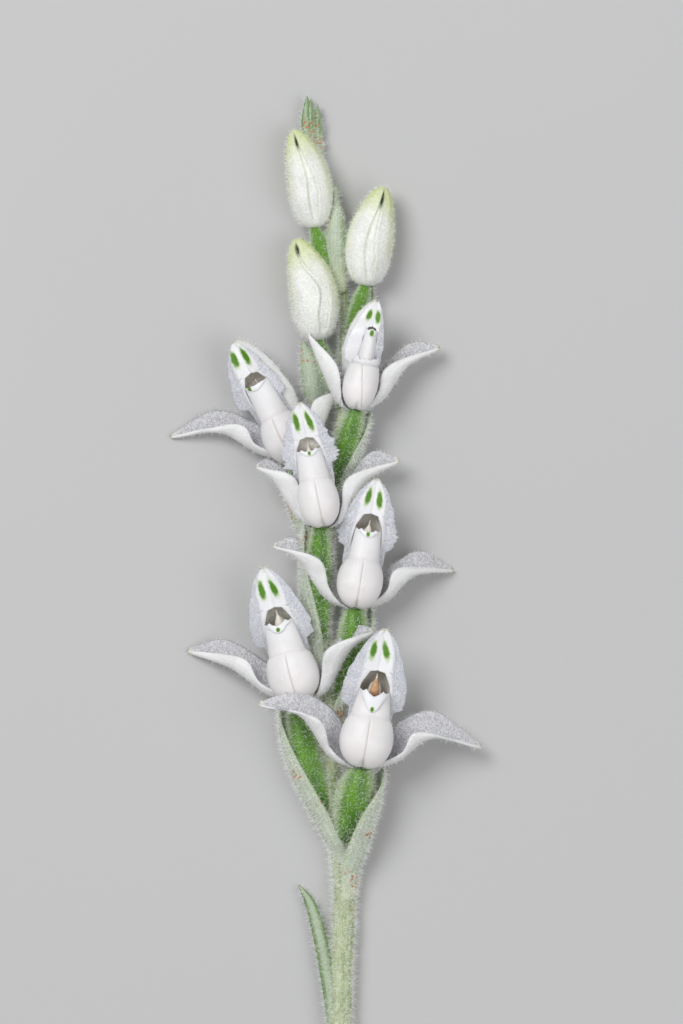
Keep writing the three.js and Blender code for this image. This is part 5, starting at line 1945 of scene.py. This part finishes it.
class ORCHID_OT_bracts(Operator):
    """Make every bract, from the free one low on the stem to the youngest at the top"""

    bl_idname = "orchid.bracts"
    bl_label = "Bracts"

    def execute(self, context):
        skin = once("bract_skin", bract_finish)
        for owner in FLOWERS + BUDS:
            one = blade_shell(owner["blade"]) if "blade" in owner else bract_shell(owner)
            mesh = mesh_of(owner["name"] + "_veined_bract", one)
            add_piece(mesh.name, mesh, "bract", skin, owner["name"] + "_bract")
        free = mesh_of("free_bract", blade_shell(STERILE_BRACT))
        add_piece(free.name, free, "bract", skin, "sterile_bract")
        young = mesh_of("young_bracts", joined(young_bract_shells()))
        add_piece(young.name, young, "bract", skin, "spike_tip")
        return {"FINISHED"}


class ORCHID_OT_hairs(Operator):
    """Grow the hairs on every hairy surface"""

    bl_idname = "orchid.hairs"
    bl_label = "Hairs"

    def execute(self, context):
        coats = context.scene.orchid_hairs
        tree = hair_tree()
        finish = once("hair", hair_finish)
        for number, slot in enumerate(("stem", "bract", "ovary", "sepal", "bud")):
            surfaces = [
                piece.data for piece in bpy.data.objects
                if piece.get("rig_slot") == slot and "hairy" in piece.data.attributes
            ]
            if not surfaces:
                raise RuntimeError(f"no hairy surface has the slot {slot}")
            source = mesh_of(slot + "_hair_roots", joined([shell_of(mesh) for mesh in surfaces]))
            mesh = grown_mesh(
                slot + "_hairs", source, tree,
                {
                    "Hairs Per Area": getattr(coats, slot + "_density") / MM**2,
                    "Length": getattr(coats, slot + "_length"), "Thickness": coats.thickness,
                    "Lean": coats.lean, "Floor": LOWEST_HAIR * MM, "Seed": coats.seed + number,
                    "Finish": finish,
                },
            )
            add_piece(slot + "_hairs", mesh, slot, None)
        return {"FINISHED"}


class ORCHID_OT_stage(Operator):
    """Lay out the floor, the soft lights and the camera above the spike"""

    bl_idname = "orchid.stage"
    bl_label = "Floor, Lights and Camera"

    def execute(self, context):
        scene = context.scene
        add_floor(scene)
        middle = SHIFT + np.array([*VIEW_CENTRE, 0]) * MM
        for row in LIGHTS:
            add_light(scene, middle, **row)
        add_camera(scene, middle)
        world = bpy.data.worlds.new("soft_room")
        world.use_nodes = True
        sky = world.node_tree.nodes["Background"]
        sky.inputs["Color"].default_value = WHITE
        sky.inputs["Strength"].default_value = ROOM_LIGHT
        scene.world = world
        scene.view_settings.view_transform = "Standard"
        return {"FINISHED"}


OPERATORS = (
    ORCHID_OT_stem, ORCHID_OT_ovaries, ORCHID_OT_lips, ORCHID_OT_petals, ORCHID_OT_sepals, ORCHID_OT_buds,
    ORCHID_OT_bracts, ORCHID_OT_hairs, ORCHID_OT_stage,
)


class ORCHID_PT_spike(Panel):
    """Every step of the spike, with its sizes and colours"""

    bl_label = "Jewel Orchid Spike"
    bl_idname = "ORCHID_PT_spike"
    bl_space_type = "VIEW_3D"
    bl_region_type = "UI"
    bl_category = "Orchid"

    def draw(self, context):
        for operator in OPERATORS:
            self.layout.operator(operator.bl_idname)
        for group in (context.scene.orchid_sizes, context.scene.orchid_hairs, context.scene.orchid_colours):
            box = self.layout.box()
            for name in group.__annotations__:
                box.prop(group, name)


GROUPS = {"orchid_sizes": OrchidSizes, "orchid_hairs": OrchidHairs, "orchid_colours": OrchidColours}


def register():
    for name, group in GROUPS.items():
        bpy.utils.register_class(group)
        setattr(bpy.types.Scene, name, PointerProperty(type=group))
    for one in (*OPERATORS, ORCHID_PT_spike):
        bpy.utils.register_class(one)


def unregister():
    for one in reversed((*OPERATORS, ORCHID_PT_spike)):
        bpy.utils.unregister_class(one)
    for name, group in GROUPS.items():
        delattr(bpy.types.Scene, name)
        bpy.utils.unregister_class(group)


def main():
    register()
    for operator in OPERATORS:
        group, name = operator.bl_idname.split(".")
        getattr(getattr(bpy.ops, group), name)()


if __name__ == "__main__":
    main()
